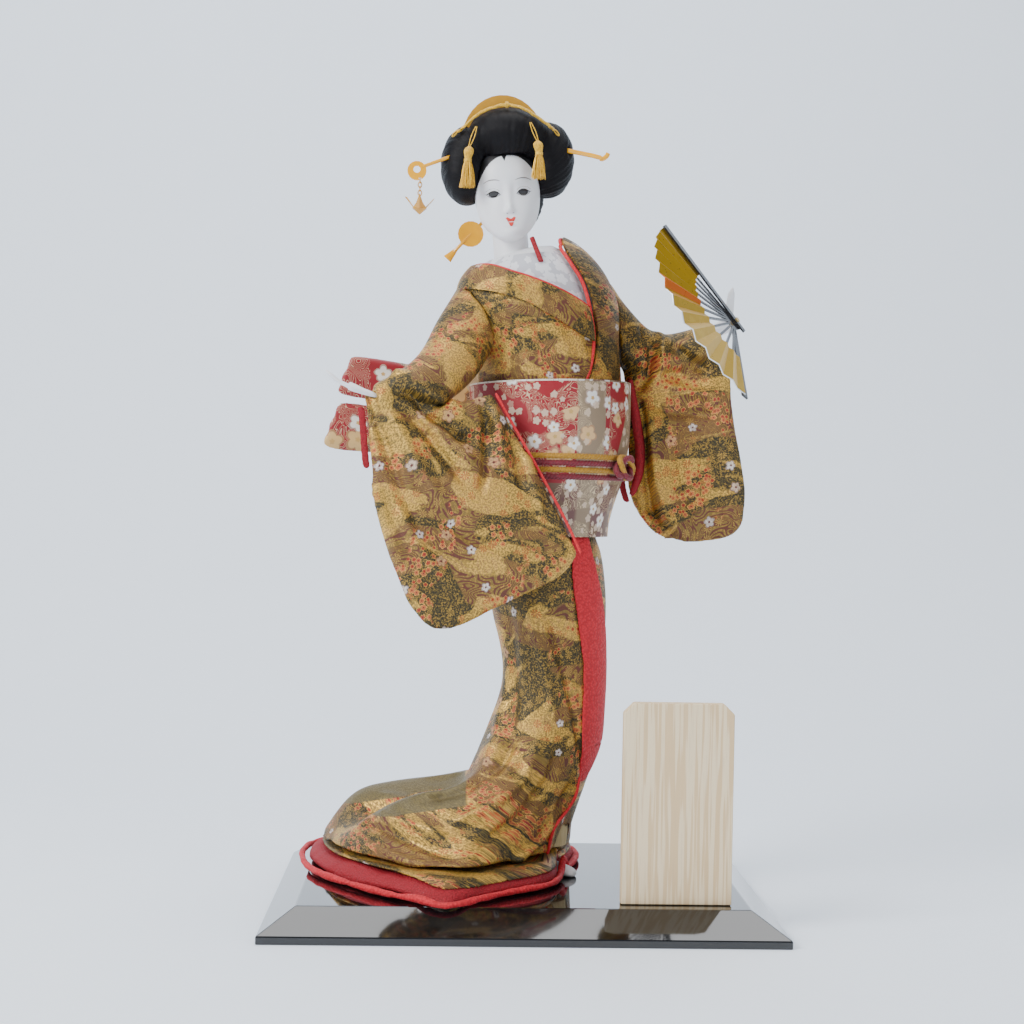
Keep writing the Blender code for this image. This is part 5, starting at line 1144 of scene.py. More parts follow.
def cord_round(index):
    spot = spot_at(0.2760 - index * CORD_STEP)
    route = [torso(math.tau * step / 260, spot, OBI_OUT + CORD_RADIUS) for step in range(260)]
    paths = braid_paths(route, True, 3, 44, CORD_RADIUS * 0.50)
    strands = [
        rail(f"strand_{index}_{number}", path, CORD_RADIUS * 0.60, True, 1)
        for number, path in enumerate(paths)
    ]
    made = joined(f"obi_cord_braid_{index + 1}", strands)
    return dress(
        made, MUSTARD_THREAD if index % 2 == 0 else MAROON_THREAD, (f"obi_cord_{index + 1}",),
    )


cord_rounds = [cord_round(index) for index in range(4)]
knot_low, knot_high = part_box("obi_knot")
knot_middle = (knot_low + knot_high) / 2
knot_right = torso(math.radians(-22.0), 6.5, 0.02) - torso(math.radians(-6.0), 6.5, 0.02)
knot_right.z = 0.0
knot_right.normalize()
knot_out = Vector((knot_right.y, -knot_right.x, 0.0))
KNOT_LOOPS = (
    ("knot_loop_1", 0.0100, 0.0042, 0.35, 0.0006, "maroon"),
    ("knot_loop_2", 0.0088, 0.0052, -0.55, 0.0022, "mustard"),
    ("knot_loop_3", 0.0062, 0.0062, 1.30, 0.0034, "maroon"),
)
for name, long, tall, lean, out, color in KNOT_LOOPS:
    route = []
    for step in range(72):
        angle = math.tau * step / 72
        x = math.cos(angle) * long
        z = math.sin(angle) * tall
        x, z = x * math.cos(lean) - z * math.sin(lean), x * math.sin(lean) + z * math.cos(lean)
        lift = out + 0.0012 * math.sin(angle * 2.0 + lean)
        route.append(knot_middle + knot_right * x + knot_out * lift + Vector((0.0, 0.0, z)))
    paths = braid_paths(route, True, 3, 12, 0.0009)
    strands = [rail(f"{name}_{number}", path, 0.0011, True, 1) for number, path in enumerate(paths)]
    made = joined(name, strands)
    dress(
        made, MAROON_THREAD if color == "maroon" else MUSTARD_THREAD,
        ("obi_knot",) if name.endswith("1") else (),
    )
print("cord rounds:", len(cord_rounds))

# %% [markdown]
# The big soft pieces, such as the skirt, the train and the sleeves, start from the solid's own
# shape. The copy is rounded by one subdivision, made into an even skin of small quads by a voxel
# remesh, and smoothed. Folds are then pressed in along lines that are drawn over the front or the
# back, as a sculptor would do with a crease brush.

# %% Rounded skins and pressed folds


def rounded_skin(node, name, voxel, rounds, subdivide=True):
    made = copy_solid(node, name)
    bpy.ops.object.mode_set(mode="EDIT")
    bpy.ops.mesh.select_all(action="SELECT")
    bpy.ops.mesh.tris_convert_to_quads(face_threshold=math.radians(60.0), shape_threshold=math.radians(70.0))
    bpy.ops.object.mode_set(mode="OBJECT")
    if subdivide:
        step = made.modifiers.new("rounding", "SUBSURF")
        step.levels = 2
        step.render_levels = 2
    step = made.modifiers.new("even_skin", "REMESH")
    step.mode = "VOXEL"
    step.voxel_size = voxel
    step.adaptivity = 0.0
    step = made.modifiers.new("softening", "SMOOTH")
    step.factor = 0.5
    step.iterations = rounds
    apply_all(made)
    for face in made.data.polygons:
        face.use_smooth = True
    return made


def points_and_normals(piece):
    count = len(piece.data.vertices)
    places = np.empty(count * 3)
    ways = np.empty(count * 3)
    piece.data.vertices.foreach_get("co", places)
    piece.data.vertices.foreach_get("normal", ways)
    return places.reshape(-1, 3), ways.reshape(-1, 3)


def far_from_line(spots, line):
    """The distance from each spot (x, z) to a line, and how far along it the nearest point is."""
    nearest = np.full(len(spots), 1e9)
    along_it = np.zeros(len(spots))
    line = np.array(line)
    spans = np.linalg.norm(np.diff(line, axis=0), axis=1)
    total = spans.sum()
    done = 0.0
    for start, end, span in zip(line, line[1:], spans):
        way = (end - start) / span
        part = np.clip((spots - start) @ way, 0.0, span)
        away = np.linalg.norm(spots - start - part[:, None] * way, axis=1)
        closer = away < nearest
        nearest = np.where(closer, away, nearest)
        along_it = np.where(closer, (done + part) / total, along_it)
        done += span
    return nearest, along_it


def press_folds(piece, folds, side=-1.0, least=0.15, strength=1.0):
    """Each fold is a line of (x, z) in millimetres, its half width and how far it rises or sinks."""
    places, ways = points_and_normals(piece)
    seen = np.clip((side * ways[:, 1] - least) / 0.35, 0.0, 1.0)
    spots = places[:, (0, 2)]
    moved = np.zeros(len(places))
    for line, half, rise in folds:
        away, along_it = far_from_line(spots, np.array(line) * 0.001)
        fade = np.clip(np.minimum(along_it, 1.0 - along_it) / 0.18, 0.12, 1.0)
        moved += strength * rise * 0.001 * np.exp(-((away / (half * 0.001)) ** 2)) * fade
    places += ways * (moved * seen)[:, None]
    piece.data.vertices.foreach_set("co", places.ravel())
    piece.data.update()


def ripple(piece, size, height, seed=0.0):
    """A slow, small unevenness, so that no cloth is perfectly even."""
    places, ways = points_and_normals(piece)
    x, y, z = (places / size).T
    across = np.sin(x * 1.7 + 1.3 * np.sin(z * 1.1 + seed) + seed)
    wave = across * np.cos(z * 1.3 + 1.1 * np.sin(x * 0.9 + y) + seed)
    wave += 0.5 * np.sin(x * 3.1 - z * 2.3 + 1.7 * np.sin(y * 1.9 + seed))
    places += ways * (wave * height)[:, None]
    piece.data.vertices.foreach_set("co", places.ravel())
    piece.data.update()


def flat_map(piece, kind="front"):
    """A flat map in metres: seen from the front, or unrolled round the standing figure."""
    mesh = piece.data
    layer = mesh.uv_layers.get("cloth") or mesh.uv_layers.new(name="cloth")
    places, ways = points_and_normals(piece)
    if kind == "front":
        u = places[:, 0] + 0.35 * places[:, 1]
        v = places[:, 2] + 0.35 * places[:, 1]
        loops = np.empty(len(mesh.loops), dtype=int)
        mesh.loops.foreach_get("vertex_index", loops)
        layer.data.foreach_set("uv", np.column_stack((u[loops], v[loops])).ravel())
        return
    away = np.hypot(places[:, 0] - 0.0165, places[:, 1] - 0.002)
    angle = np.arctan2(places[:, 1] - 0.002, -(places[:, 0] - 0.0165))
    flare = np.maximum(0.0, away - 0.036)
    loops = np.empty(len(mesh.loops), dtype=int)
    mesh.loops.foreach_get("vertex_index", loops)
    starts = np.empty(len(mesh.polygons), dtype=int)
    totals = np.empty(len(mesh.polygons), dtype=int)
    mesh.polygons.foreach_get("loop_start", starts)
    mesh.polygons.foreach_get("loop_total", totals)
    of_face = np.repeat(np.arange(len(starts)), totals)
    turned = angle[loops]
    first = turned[starts][of_face]
    turned = turned - math.tau * np.round((turned - first) / math.tau)
    u = turned * (0.036 + 0.80 * flare[loops])
    v = places[loops, 2] - flare[loops]
    layer.data.foreach_set("uv", np.column_stack((u, v)).ravel())


print("skins ready")

# %% [markdown]
# The kimono's skirt wraps tightly round the legs and spreads into a long train that coils round to
# the front. Creases fan out from the knees, and deep ones run along the train. The upper fold at
# the train's end shows the plain side of the cloth, so part of the pattern is left out there.

# %% Skirt and train
SKIRT_FOLDS = (
    (((9, 187), (18, 160), (27, 135), (34, 105), (34, 91)), 1.8, -2.2),
    (((35, 92), (30, 67), (11, 43), (-9, 30), (-31, 28)), 2.4, 2.8),
    (((1, 189), (8, 165), (16, 134), (20, 110)), 3.4, 1.6),
    (((-12, 189), (-8, 158), (-5, 128), (-10, 101)), 3.6, -2.0),
    (((-21, 164), (-14, 134), (-15, 104), (-26, 79)), 3.6, 1.8),
    (((22, 104), (16, 80), (-3, 57), (-29, 45)), 3.2, -2.6),
    (((10, 104), (1, 82), (-22, 64), (-49, 54)), 3.4, 2.4),
    (((-2, 110), (-14, 89), (-36, 74), (-64, 67)), 3.2, -2.6),
    (((-15, 104), (-32, 87), (-56, 78), (-81, 71)), 3.4, 2.2),
    (((-32, 85), (-56, 81), (-82, 76), (-104, 66)), 2.8, -2.0),
    (((-36, 39), (-61, 44), (-88, 51), (-109, 52)), 3.0, -2.4),
    (((-43, 49), (-67, 55), (-92, 59)), 2.8, 2.0),
    (((-31, 26), (-55, 32), (-83, 39), (-104, 39)), 2.6, 1.8),
    (((-46, 30), (-37, 21), (-24, 11)), 2.4, -2.2),
    (((32, 80), (21, 57), (6, 40)), 2.2, -1.8),
    (((24, 36), (6, 24), (-12, 18)), 2.4, 1.6),
)
SKIRT_BACK_FOLDS = (
    (((10, 224), (6, 180), (-2, 130), (-16, 90)), 3.5, -1.2),
    (((26, 222), (28, 170), (28, 120), (24, 80)), 3.5, 1.0),
    (((40, 220), (42, 170), (40, 120), (44, 70)), 3.0, -1.0),
    (((-2, 110), (-30, 80), (-70, 62)), 3.5, -1.4),
    (((10, 90), (-20, 62), (-60, 44), (-100, 30)), 3.5, 1.3),
    (((24, 84), (14, 54), (-6, 26)), 3.2, -1.2),
    (((40, 76), (44, 50), (40, 24)), 3.0, 1.0),
)
skirt_cloth = rounded_skin("skirt", "skirt_cloth", 0.0012, 14)
press_folds(skirt_cloth, SKIRT_FOLDS, strength=1.3)
press_folds(skirt_cloth, SKIRT_BACK_FOLDS, side=1.0)
ripple(skirt_cloth, 0.016, 0.00022)
flat_map(skirt_cloth, "round")


def rear_fold(g):
    """The upper fold at the train's left end shows the plain side of the cloth."""
    x, _, z = g.split(place_of(g))
    above = g.math("SUBTRACT", z, g.math("ADD", 0.0610, g.math("MULTIPLY", g.math("ADD", x, 0.060), 0.19)))
    return g.math("MULTIPLY", g.step(above, 0.0, 0.0006), g.step(x, -0.0330, -0.0345))


dress(
    skirt_cloth, brocade("skirt_brocade", 0.0, (0.0, 0.0), plain=rear_fold), ("skirt",),
)
FRONT_EDGE = ((592, 780), (589, 800), (585, 825), (581, 845), (573, 862), (564, 872))
edge_route = evenly([seen_spot(skirt_cloth, u, v, 0.0002) for u, v in FRONT_EDGE], 60)
skirt_piping = rail("skirt_front_piping", edge_route, 0.0010)
dress(skirt_piping, PIPING_SILK)
print("skirt faces:", len(skirt_cloth.data.polygons))

# %% [markdown]
# Under the train lie the flap of the inner skirt, the crimson lining and the padded coral hem.
# The hem is the soft roll of crepe that spreads over the board.

# %% Flap, crimson lining and coral hem
flap_cloth = rounded_skin("under_panel", "flap_cloth", 0.0009, 6)
ripple(flap_cloth, 0.012, 0.00018, 0.6)
flat_map(flap_cloth, "round")
dress(flap_cloth, brocade("flap_brocade", 0.4, (0.21, 0.12)), ("under_panel",))
crimson_cloth = rounded_skin("crimson_layer", "crimson_lining_cloth", 0.0010, 8)
ripple(crimson_cloth, 0.010, 0.00035, 1.4)
flat_map(crimson_cloth, "round")
dress(crimson_cloth, CRIMSON_SILK, ("crimson_layer",))
coral_cloth = rounded_skin("coral_hem", "coral_hem_roll", 0.0010, 10)
ripple(coral_cloth, 0.008, 0.00035, 2.3)
flat_map(coral_cloth, "round")
dress(coral_cloth, CORAL_CREPE, ("coral_hem",))
band_crepe = rounded_skin("front_band", "front_band_crepe", 0.0007, 4)
flat_map(band_crepe, "round")
dress(band_crepe, CORAL_CREPE, ("front_band",))
print("hem faces:", len(coral_cloth.data.polygons))

# %% [markdown]
# The sleeves are wide bags of brocade. The right one hangs from the bent arm, with the deep fold
# at the elbow and long soft pulls down to its lower corner; the left one falls from the raised arm.

# %% Sleeves
RIGHT_FOLDS = (
    (((-83, 312), (-71, 308), (-56, 296), (-43, 285), (-29, 285)), 3.2, -3.6),
    (((-88, 324), (-72, 318), (-54, 308), (-37, 299)), 3.6, 2.6),
    (((-60, 293), (-50, 287), (-40, 277), (-32, 267)), 3.4, 2.6),
    (((-75, 302), (-63, 289), (-51, 273), (-35, 255)), 3.2, -2.6),
    (((-87, 306), (-77, 290), (-65, 268), (-49, 245)), 4.2, 2.4),
    (((-96, 307), (-87, 283), (-76, 254), (-62, 224)), 3.6, -2.2),
    (((-30, 311), (-26, 291), (-26, 267), (-29, 249)), 2.6, -2.6),
    (((-23, 307), (-18, 285), (-15, 261)), 2.8, 2.2),
    (((-14, 297), (-8, 275), (-4, 254)), 2.8, -2.2),
    (((-4, 279), (2, 258), (9, 237)), 2.8, 1.8),
    (((-53, 236), (-34, 225), (-16, 220)), 3.2, -1.8),
    (((-77, 248), (-64, 221), (-46, 200)), 3.6, 2.0),
    (((-94, 265), (-84, 236), (-73, 206)), 3.6, 1.6),
    (((-106, 319), (-99, 307), (-94, 289)), 2.6, -1.8),
)
LEFT_FOLDS = (
    (((70, 362), (77, 347), (76, 329), (69, 318)), 2.6, -3.0),
    (((77, 364), (85, 351), (85, 335), (78, 321)), 3.0, 2.2),
    (((87, 348), (101, 337), (115, 331)), 3.4, -2.4),
    (((84, 323), (102, 319), (122, 315)), 4.0, 2.6),
    (((75, 313), (88, 306), (108, 305), (124, 304)), 3.2, -2.0),
    (((77, 307), (80, 288), (83, 263), (89, 242), (102, 226)), 2.8, 3.0),
    (((70, 318), (74, 294), (75, 269), (79, 244), (87, 230)), 2.4, -3.2),
    (((91, 288), (94, 263), (103, 239)), 3.4, -2.0),
    (((102, 295), (107, 264), (113, 236)), 4.5, 1.8),
    (((118, 295), (123, 264), (127, 239)), 4.0, -1.4),
    (((72, 247), (82, 233), (95, 225)), 2.0, 1.6),
)
right_cloth = rounded_skin("right_sleeve", "right_sleeve_cloth", 0.0010, 10)
press_folds(right_cloth, RIGHT_FOLDS, strength=1.45)
press_folds(right_cloth, RIGHT_FOLDS, side=1.0)
ripple(right_cloth, 0.012, 0.0002, 0.9)
flat_map(right_cloth)
dress(
    right_cloth, brocade("right_sleeve_brocade", 0.25, (0.17, 0.20)), ("right_sleeve",),
)
left_cloth = rounded_skin("left_sleeve", "left_sleeve_cloth", 0.0010, 10)
press_folds(left_cloth, LEFT_FOLDS, strength=1.3)
press_folds(left_cloth, LEFT_FOLDS, side=1.0)
ripple(left_cloth, 0.012, 0.0002, 1.9)
flat_map(left_cloth)
dress(left_cloth, brocade("left_sleeve_brocade", -0.2, (0.37, 0.28)), ("left_sleeve",))
for node, name in (("right_sleeve_lining", "right_lining_silk"), ("left_sleeve_lining", "left_lining_silk"),
                   ("right_sleeve_piping", "right_piping_silk")):
    made = rounded_skin(node, name, 0.0005, 4)
    flat_map(made)
    dress(made, CRIMSON_SILK if "lining" in node else PIPING_SILK, (node,))
LINING_EDGE = ((630, 380), (633, 400), (637, 425), (640, 450), (639, 472), (634, 489), (631, 495))
lining_start = seen_spot(left_cloth, 646, 430, 0.0)
lining_route = [seen_at_depth(u, v, lining_start.y - 0.0022) for u, v in LINING_EDGE]
lining_edge = rail(
    "left_lining_edge", evenly(lining_route, 60), 0.0027,
    taper=lambda part: 0.45 + 0.75 * math.sin(math.pi * (part * 0.9 + 0.08)),
)
dress(lining_edge, CRIMSON_SILK)
print("sleeve faces:", len(right_cloth.data.polygons), len(left_cloth.data.polygons))

# %% [markdown]
# The obi is tied at the back in a flat bow with two pairs of stiff wings, folded like paper, and a
# loop of the same silk wrapped round its middle.

# %% Bow at the back
for node in ("bow_wing_upper_right", "bow_wing_lower_right", "bow_wing_upper_left", "bow_wing_lower_left",
             "bow_wrap"):
    made = rounded_skin(node, node.replace("bow", "silk"), 0.0008, 5)
    places, ways = points_and_normals(made)
    groove = np.sin((places[:, 2] - 0.26) / 0.0052 * math.pi + places[:, 0] * 60.0)
    places += ways * (groove * 0.00045)[:, None]
    made.data.vertices.foreach_set("co", places.ravel())
    flat_map(made)
    dress(made, BOW_SILK, (node,))
print("bow ready")

# %% [markdown]
# The doll's face is a smooth white casting with a matte finish of shell powder. It is made of level
# rings, from the chin to the crown, and small rises and hollows for the brow, the lids, the nose,
# the lips and the chin. An even skin over the face, neck and shoulders joins the three softly.

# %% Face, neck and shoulders
HEAD_MIDDLE = Vector((-0.0146, 0.0020, 0.4368))
HEAD_TILT = math.radians(-6.0)
HEAD_SECTIONS = (
    (-0.0284, 0.0032, -0.0190, -0.0110), (-0.0272, 0.0062, -0.0212, -0.0070),
    (-0.0244, 0.0098, -0.0220, 0.0000),
    (-0.0210, 0.0131, -0.0219, 0.0080), (-0.0158, 0.0166, -0.0215, 0.0140),
    (-0.0080, 0.0192, -0.0214, 0.0180),
    (0.0000, 0.0203, -0.0217, 0.0200), (0.0080, 0.0205, -0.0226, 0.0210), (0.0160, 0.0196, -0.0222, 0.0205),
    (0.0240, 0.0165, -0.0185, 0.0185), (0.0290, 0.0110, -0.0120, 0.0135), (0.0315, 0.0045, -0.0050, 0.0060),
)
# Sideways place, height, width, tallness and how far each feature stands out
FEATURES = (
    (0.0, 0.0030, 0.0024, 0.0050, 0.0004), (0.0, -0.0045, 0.0019, 0.0058, 0.0013),
    (0.0, -0.0102, 0.0021, 0.0026, 0.0024),
    (0.0021, -0.0116, 0.0013, 0.0013, 0.0008), (0.0, -0.0134, 0.0020, 0.0010, -0.0007),
    (0.0092, 0.0002, 0.0052, 0.0040, -0.0012), (0.0092, 0.0008, 0.0040, 0.0018, 0.0010),
    (0.0034, 0.0010, 0.0016, 0.0040, -0.0005), (0.0, -0.0152, 0.0010, 0.0014, -0.0003),
    (0.0, -0.0168, 0.0029, 0.0010, 0.0008), (0.0, -0.0198, 0.0024, 0.0011, 0.0007),
    (0.0, -0.0182, 0.0030, 0.0004, -0.0004), (0.0, -0.0218, 0.0030, 0.0012, -0.0004),
    (0.0, -0.0246, 0.0042, 0.0026, 0.0009), (0.0105, -0.0120, 0.0060, 0.0060, 0.0004),
)


def in_head(x, y, z):
    return HEAD_MIDDLE + Matrix.Rotation(HEAD_TILT, 3, "Y") @ Vector((x, y, z))


def relief(x, z):
    out = 0.0
    for side, height, wide, tall, rise in FEATURES:
        for sign in ((1.0,) if side == 0.0 else (1.0, -1.0)):
            out += rise * math.exp(-(((x - sign * side) / wide) ** 2) - ((z - height) / tall) ** 2)
    return out


def head_spot(height):
    low, high = 0.0, float(len(HEAD_SECTIONS) - 1)
    for _ in range(36):
        middle = (low + high) / 2
        if through(HEAD_SECTIONS, middle)[0] < height:
            low = middle
        else:
            high = middle
    return low


def head_section(spot, turn):
    height, wide, front, back = through(HEAD_SECTIONS, spot)
    lean = math.sin(turn)
    ahead_part = math.cos(turn)
    x = wide * math.copysign(abs(lean) ** 0.92, lean)
    y = (front + back) / 2 - (back - front) / 2 * math.copysign(abs(ahead_part) ** 0.88, ahead_part)
    if ahead_part > 0.0:
        y -= relief(x, height) * min(1.0, ahead_part * 2.0)
    return in_head(x, y, height)


def on_face(x, z, out=0.0):
    """The place on the front of the face at a sideways place and height, a little way out."""
    height, wide, front, back = through(HEAD_SECTIONS, head_spot(z))
    lean = min(abs(x) / wide, 0.999) ** (1.0 / 0.92)
    ahead_part = math.sqrt(1.0 - lean * lean)
    y = (front + back) / 2 - (back - front) / 2 * ahead_part**0.88
    return in_head(x, y - relief(x, z) * min(1.0, ahead_part * 2.0) - out, z)


def closed_rings(name, rings):
    """A closed skin over rings of points, with a point at each end."""
    count = len(rings[0])
    points = [tuple(point) for ring in rings for point in ring]
    faces = []
    for row in range(len(rings) - 1):
        for col in range(count):
            a, b = row * count + col, row * count + (col + 1) % count
            faces.append((a, b, b + count, a + count))
    for row, flip in ((0, True), (len(rings) - 1, False)):
        middle = sum((Vector(point) for point in rings[row]), Vector()) / count
        points.append(tuple(middle))
        for col in range(count):
            a, b = row * count + col, row * count + (col + 1) % count
            faces.append((b, a, len(points) - 1) if flip else (a, b, len(points) - 1))
    mesh = bpy.data.meshes.new(name)
    mesh.from_pydata(points, [], faces)
    made = bpy.data.objects.new(name, mesh)
    bpy.context.scene.collection.objects.link(made)
    pick(made)
    bpy.ops.object.mode_set(mode="EDIT")
    bpy.ops.mesh.select_all(action="SELECT")
    bpy.ops.mesh.normals_make_consistent(inside=False)
    bpy.ops.object.mode_set(mode="OBJECT")
    for face in mesh.polygons:
        face.use_smooth = True
    return made


last_spot = len(HEAD_SECTIONS) - 1
face = closed_rings("face", [
    [head_section(last_spot * row / 130, math.tau * col / 160) for col in range(160)] for row in range(131)
])
NECK_FOOT = Vector((-0.0095, 0.0030, 0.3850))
NECK_TOP = Vector((-0.0130, 0.0040, 0.4200))
NECK_RADIUS = 0.0110
neck_rings = []
for row in range(30):
    part = row / 29
    middle = NECK_FOOT.lerp(NECK_TOP, part)
    wide = NECK_RADIUS * (1.0 + 0.55 * max(0.0, 0.62 - part) ** 2)
    neck_rings.append([
        middle + Vector((math.cos(turn) * wide, math.sin(turn) * wide, 0.0))
        for turn in (math.tau * col / 64 for col in range(64))
    ])
neck = closed_rings("neck", neck_rings)
bust = closed_rings("bust", [
    [torso(math.tau * col / 120, 8.6 + 5.4 * row / 60) for col in range(120)] for row in range(61)
])
head_skin = joined("head_skin", [face, neck, bust])
step = head_skin.modifiers.new("one_skin", "REMESH")
step.mode = "VOXEL"
step.voxel_size = 0.00052
step = head_skin.modifiers.new("softening", "SMOOTH")
step.factor = 0.5
step.iterations = 3
apply_all(head_skin)
for face in head_skin.data.polygons:
    face.use_smooth = True
print("head faces:", len(head_skin.data.polygons))

# %% [markdown]
# Over the forehead the hair starts in an arch with a small peak in the middle. It is part of the
# skin's material, as painted hair is on such a doll, and it hides under the wig's front roll. The
# arch is drawn in the head's own tilted directions.

# %% Skin with its painted hairline
SKIN_HEAD = SKIN.copy()
SKIN_HEAD.name = "white_skin_hairline"
tree = SKIN_HEAD.node_tree
shader = next(node for node in tree.nodes if node.type == "BSDF_PRINCIPLED")
graph = Graph(tree)
place = graph.add("ShaderNodeTexCoord").outputs["Object"]
turned = graph.add("ShaderNodeMapping")
turned.inputs["Location"].default_value = (
    HEAD_MIDDLE.x * -math.cos(HEAD_TILT) + HEAD_MIDDLE.z * math.sin(HEAD_TILT), 0.0,
    -HEAD_MIDDLE.z * math.cos(HEAD_TILT) - HEAD_MIDDLE.x * math.sin(HEAD_TILT),
)
turned.inputs["Rotation"].default_value = (0.0, -HEAD_TILT, 0.0)
tree.links.new(place, turned.inputs["Vector"])
side, depth, height = graph.split(turned.outputs["Vector"])
away = graph.math("ABSOLUTE", graph.math("SUBTRACT", side, 0.0010))
from_peak = graph.math("ABSOLUTE", graph.math("ADD", side, 0.0008))
arch = graph.math("MULTIPLY", graph.math("POWER", graph.math("DIVIDE", away, 0.0185), 2.4), -0.0148)
peak = graph.math("MULTIPLY", graph.math("MAXIMUM", graph.math("SUBTRACT", 0.0016, from_peak), 0.0), -2.3)
fringe_place = graph.add("ShaderNodeCombineXYZ", {0: graph.math("MULTIPLY", side, 2.0), 2: height}).outputs[0]
fringe = graph.noise(fringe_place, 1400.0, 2.0, 0.6)
line = graph.math("ADD", graph.math("ADD", arch, peak), 0.0229)
line = graph.math("ADD", line, graph.math("MULTIPLY", graph.math("SUBTRACT", fringe, 0.5), 0.0022))
covered = graph.step(graph.math("SUBTRACT", height, line), -0.0002, 0.0003)
strand_place = graph.add("ShaderNodeCombineXYZ", {0: graph.math("MULTIPLY", side, 6.0), 2: height}).outputs[0]
strands = graph.noise(strand_place, 900.0, 2.0, 0.5)
hair_tone = graph.mix(strands, (0.006, 0.006, 0.008), (0.022, 0.020, 0.022))
base_from = shader.inputs["Base Color"].links[0].from_socket if shader.inputs["Base Color"].links else None
skin_tone = base_from or (0.78, 0.78, 0.79)
tree.links.new(graph.mix(covered, skin_tone, hair_tone), shader.inputs["Base Color"])
dress(head_skin, SKIN_HEAD, ("head",))
print("hairline painted")

# %% [markdown]
# The eyes, brows and lips are painted on. Each is a thin patch that follows the face a hair's
# breadth above it, so its edge is crisp from near and it can't sink into the skin.

# %% Eyes, lashes, brows and lips


def paint_like(name, color, roughness, speck=0.25, coat=0.0):
    material, graph, shader = start_material(name, roughness)
    tone = graph.noise(place_of(graph), 900.0, 3.0, 0.5)
    darker = tuple(value * (1.0 - speck) for value in color)
    graph.tree.links.new(graph.mix(tone, darker, color), shader.inputs["Base Color"])
    shader.inputs["Coat Weight"].default_value = coat
    return material


EYE_BROWN = paint_like("eye_brown", (0.006, 0.002, 0.0015), 0.22, 0.1, 0.3)
EYE_WHITE = paint_like("eye_white", (0.55, 0.55, 0.57), 0.25, 0.1, 0.3)
LASH_BLACK = paint_like("lash_black", (0.012, 0.010, 0.012), 0.45)
BROW_GREY = paint_like("brow_grey", (0.20, 0.18, 0.18), 0.7)
LIP_RED = paint_like("lip_red", (0.78, 0.045, 0.030), 0.28, 0.2, 0.2)


def curve_value(rows, part):
    """A smooth value between evenly spaced rows of single numbers."""
    return through([(value,) for value in rows], part * (len(rows) - 1))[0]


def face_patch(name, left, right, lows, highs, out, material, columns=36, rows=8):
    def surface(u, v):
        x = left + (right - left) * u
        low, high = curve_value(lows, u), curve_value(highs, u)
        return on_face(x, low + (high - low) * v, out), (x, v * 0.01)
    made = grid_sheet(name, surface, columns, rows)
    pick(made)
    bpy.ops.object.mode_set(mode="EDIT")
    bpy.ops.mesh.select_all(action="SELECT")
    bpy.ops.mesh.remove_doubles(threshold=0.000004)
    bpy.ops.object.mode_set(mode="OBJECT")
    thicken(made, 0.00018)
    for face in made.data.polygons:
        face.use_smooth = True
    return dress(made, material)


for side_name, sign in (("right", -1.0), ("left", 1.0)):
    inner, outer = 0.0050 * sign, 0.0136 * sign
    left, right = min(inner, outer), max(inner, outer)
    lids = [-0.0012, 0.0002, 0.0009, 0.0011, 0.0008, 0.0001]
    lows = [-0.0012, -0.0017, -0.0020, -0.0020, -0.0014, 0.0001]
    if sign < 0.0:
        lids, lows = lids[::-1], lows[::-1]
    face_patch(f"eye_white_{side_name}", left, right, lows, lids, 0.00012, EYE_WHITE)
    iris = 0.0091 * sign
    iris_low = [-0.0010, -0.0021, -0.0024, -0.0021, -0.0010]
    iris_high = [0.0008, 0.0012, 0.0013, 0.0012, 0.0008]
    iris_left, iris_right = iris - 0.0029, iris + 0.0029
    face_patch(f"eye_brown_{side_name}", iris_left, iris_right, iris_low, iris_high, 0.00022, EYE_BROWN)
    lash_line = []
    for step in range(41):
        part = step / 40
        x = inner + (outer - inner) * (part * 1.10 - 0.02)
        height = curve_value([-0.0012, 0.0003, 0.0011, 0.0013, 0.0010, 0.0003, -0.0002], part)
        lash_line.append(on_face(x, height + (0.0006 if part > 0.9 else 0.0) * (part - 0.9) * 10, 0.0002))
    lash = rail(
        f"lash_{side_name}", lash_line, 0.00038,
        taper=lambda part: (
            0.25 + math.sin(math.pi * (part * 1.05) ** 0.9) ** 0.8 if 0.0 < part < 0.95 else 0.25
        ),
    )
    dress(lash, LASH_BLACK)
    under_line = []
    for step in range(25):
        part = step / 24
        x = inner + (outer - inner) * (0.05 + 0.93 * part)
        under_height = curve_value([-0.0014, -0.0020, -0.0023, -0.0022, -0.0016, -0.0003], part)
        under_line.append(on_face(x, under_height, 0.00003))
    dress(rail(f"lower_lid_{side_name}", under_line, 0.00010), BROW_GREY)
    crease_line = []
    for step in range(31):
        part = step / 30
        x = inner + (outer - inner) * (0.02 + 1.0 * part)
        crease_line.append(on_face(x, curve_value([0.0012, 0.0026, 0.0031, 0.0029, 0.0019], part), -0.00003))
    dress(rail(f"lid_crease_{side_name}", crease_line, 0.00009), BROW_GREY)
    brow_line = []
    for step in range(41):
        part = step / 40
        x = (0.0046 + 0.0104 * part) * sign
        brow_line.append(on_face(x, curve_value([0.0072, 0.0080, 0.0083, 0.0080, 0.0070], part), 0.0))
    brow = rail(
        f"brow_{side_name}", brow_line, 0.00028,
        taper=lambda part: 0.15 + 0.85 * math.sin(math.pi * part) ** 0.7,
    )
    dress(brow, BROW_GREY)
    nostril_line = [on_face(0.0014 * sign, -0.0129, 0.00002), on_face(0.0024 * sign, -0.0127, 0.00002)]
    nostril = rail(f"nostril_{side_name}", nostril_line, 0.00022)
    dress(nostril, BROW_GREY)
LIP_TOP = [-0.0156, -0.0152, -0.0158, -0.0163, -0.0158, -0.0152, -0.0156]
LIP_MID = [-0.0160, -0.0176, -0.0181, -0.0183, -0.0181, -0.0176, -0.0160]
LIP_LOW = [-0.0162, -0.0184, -0.0205, -0.0209, -0.0205, -0.0184, -0.0162]
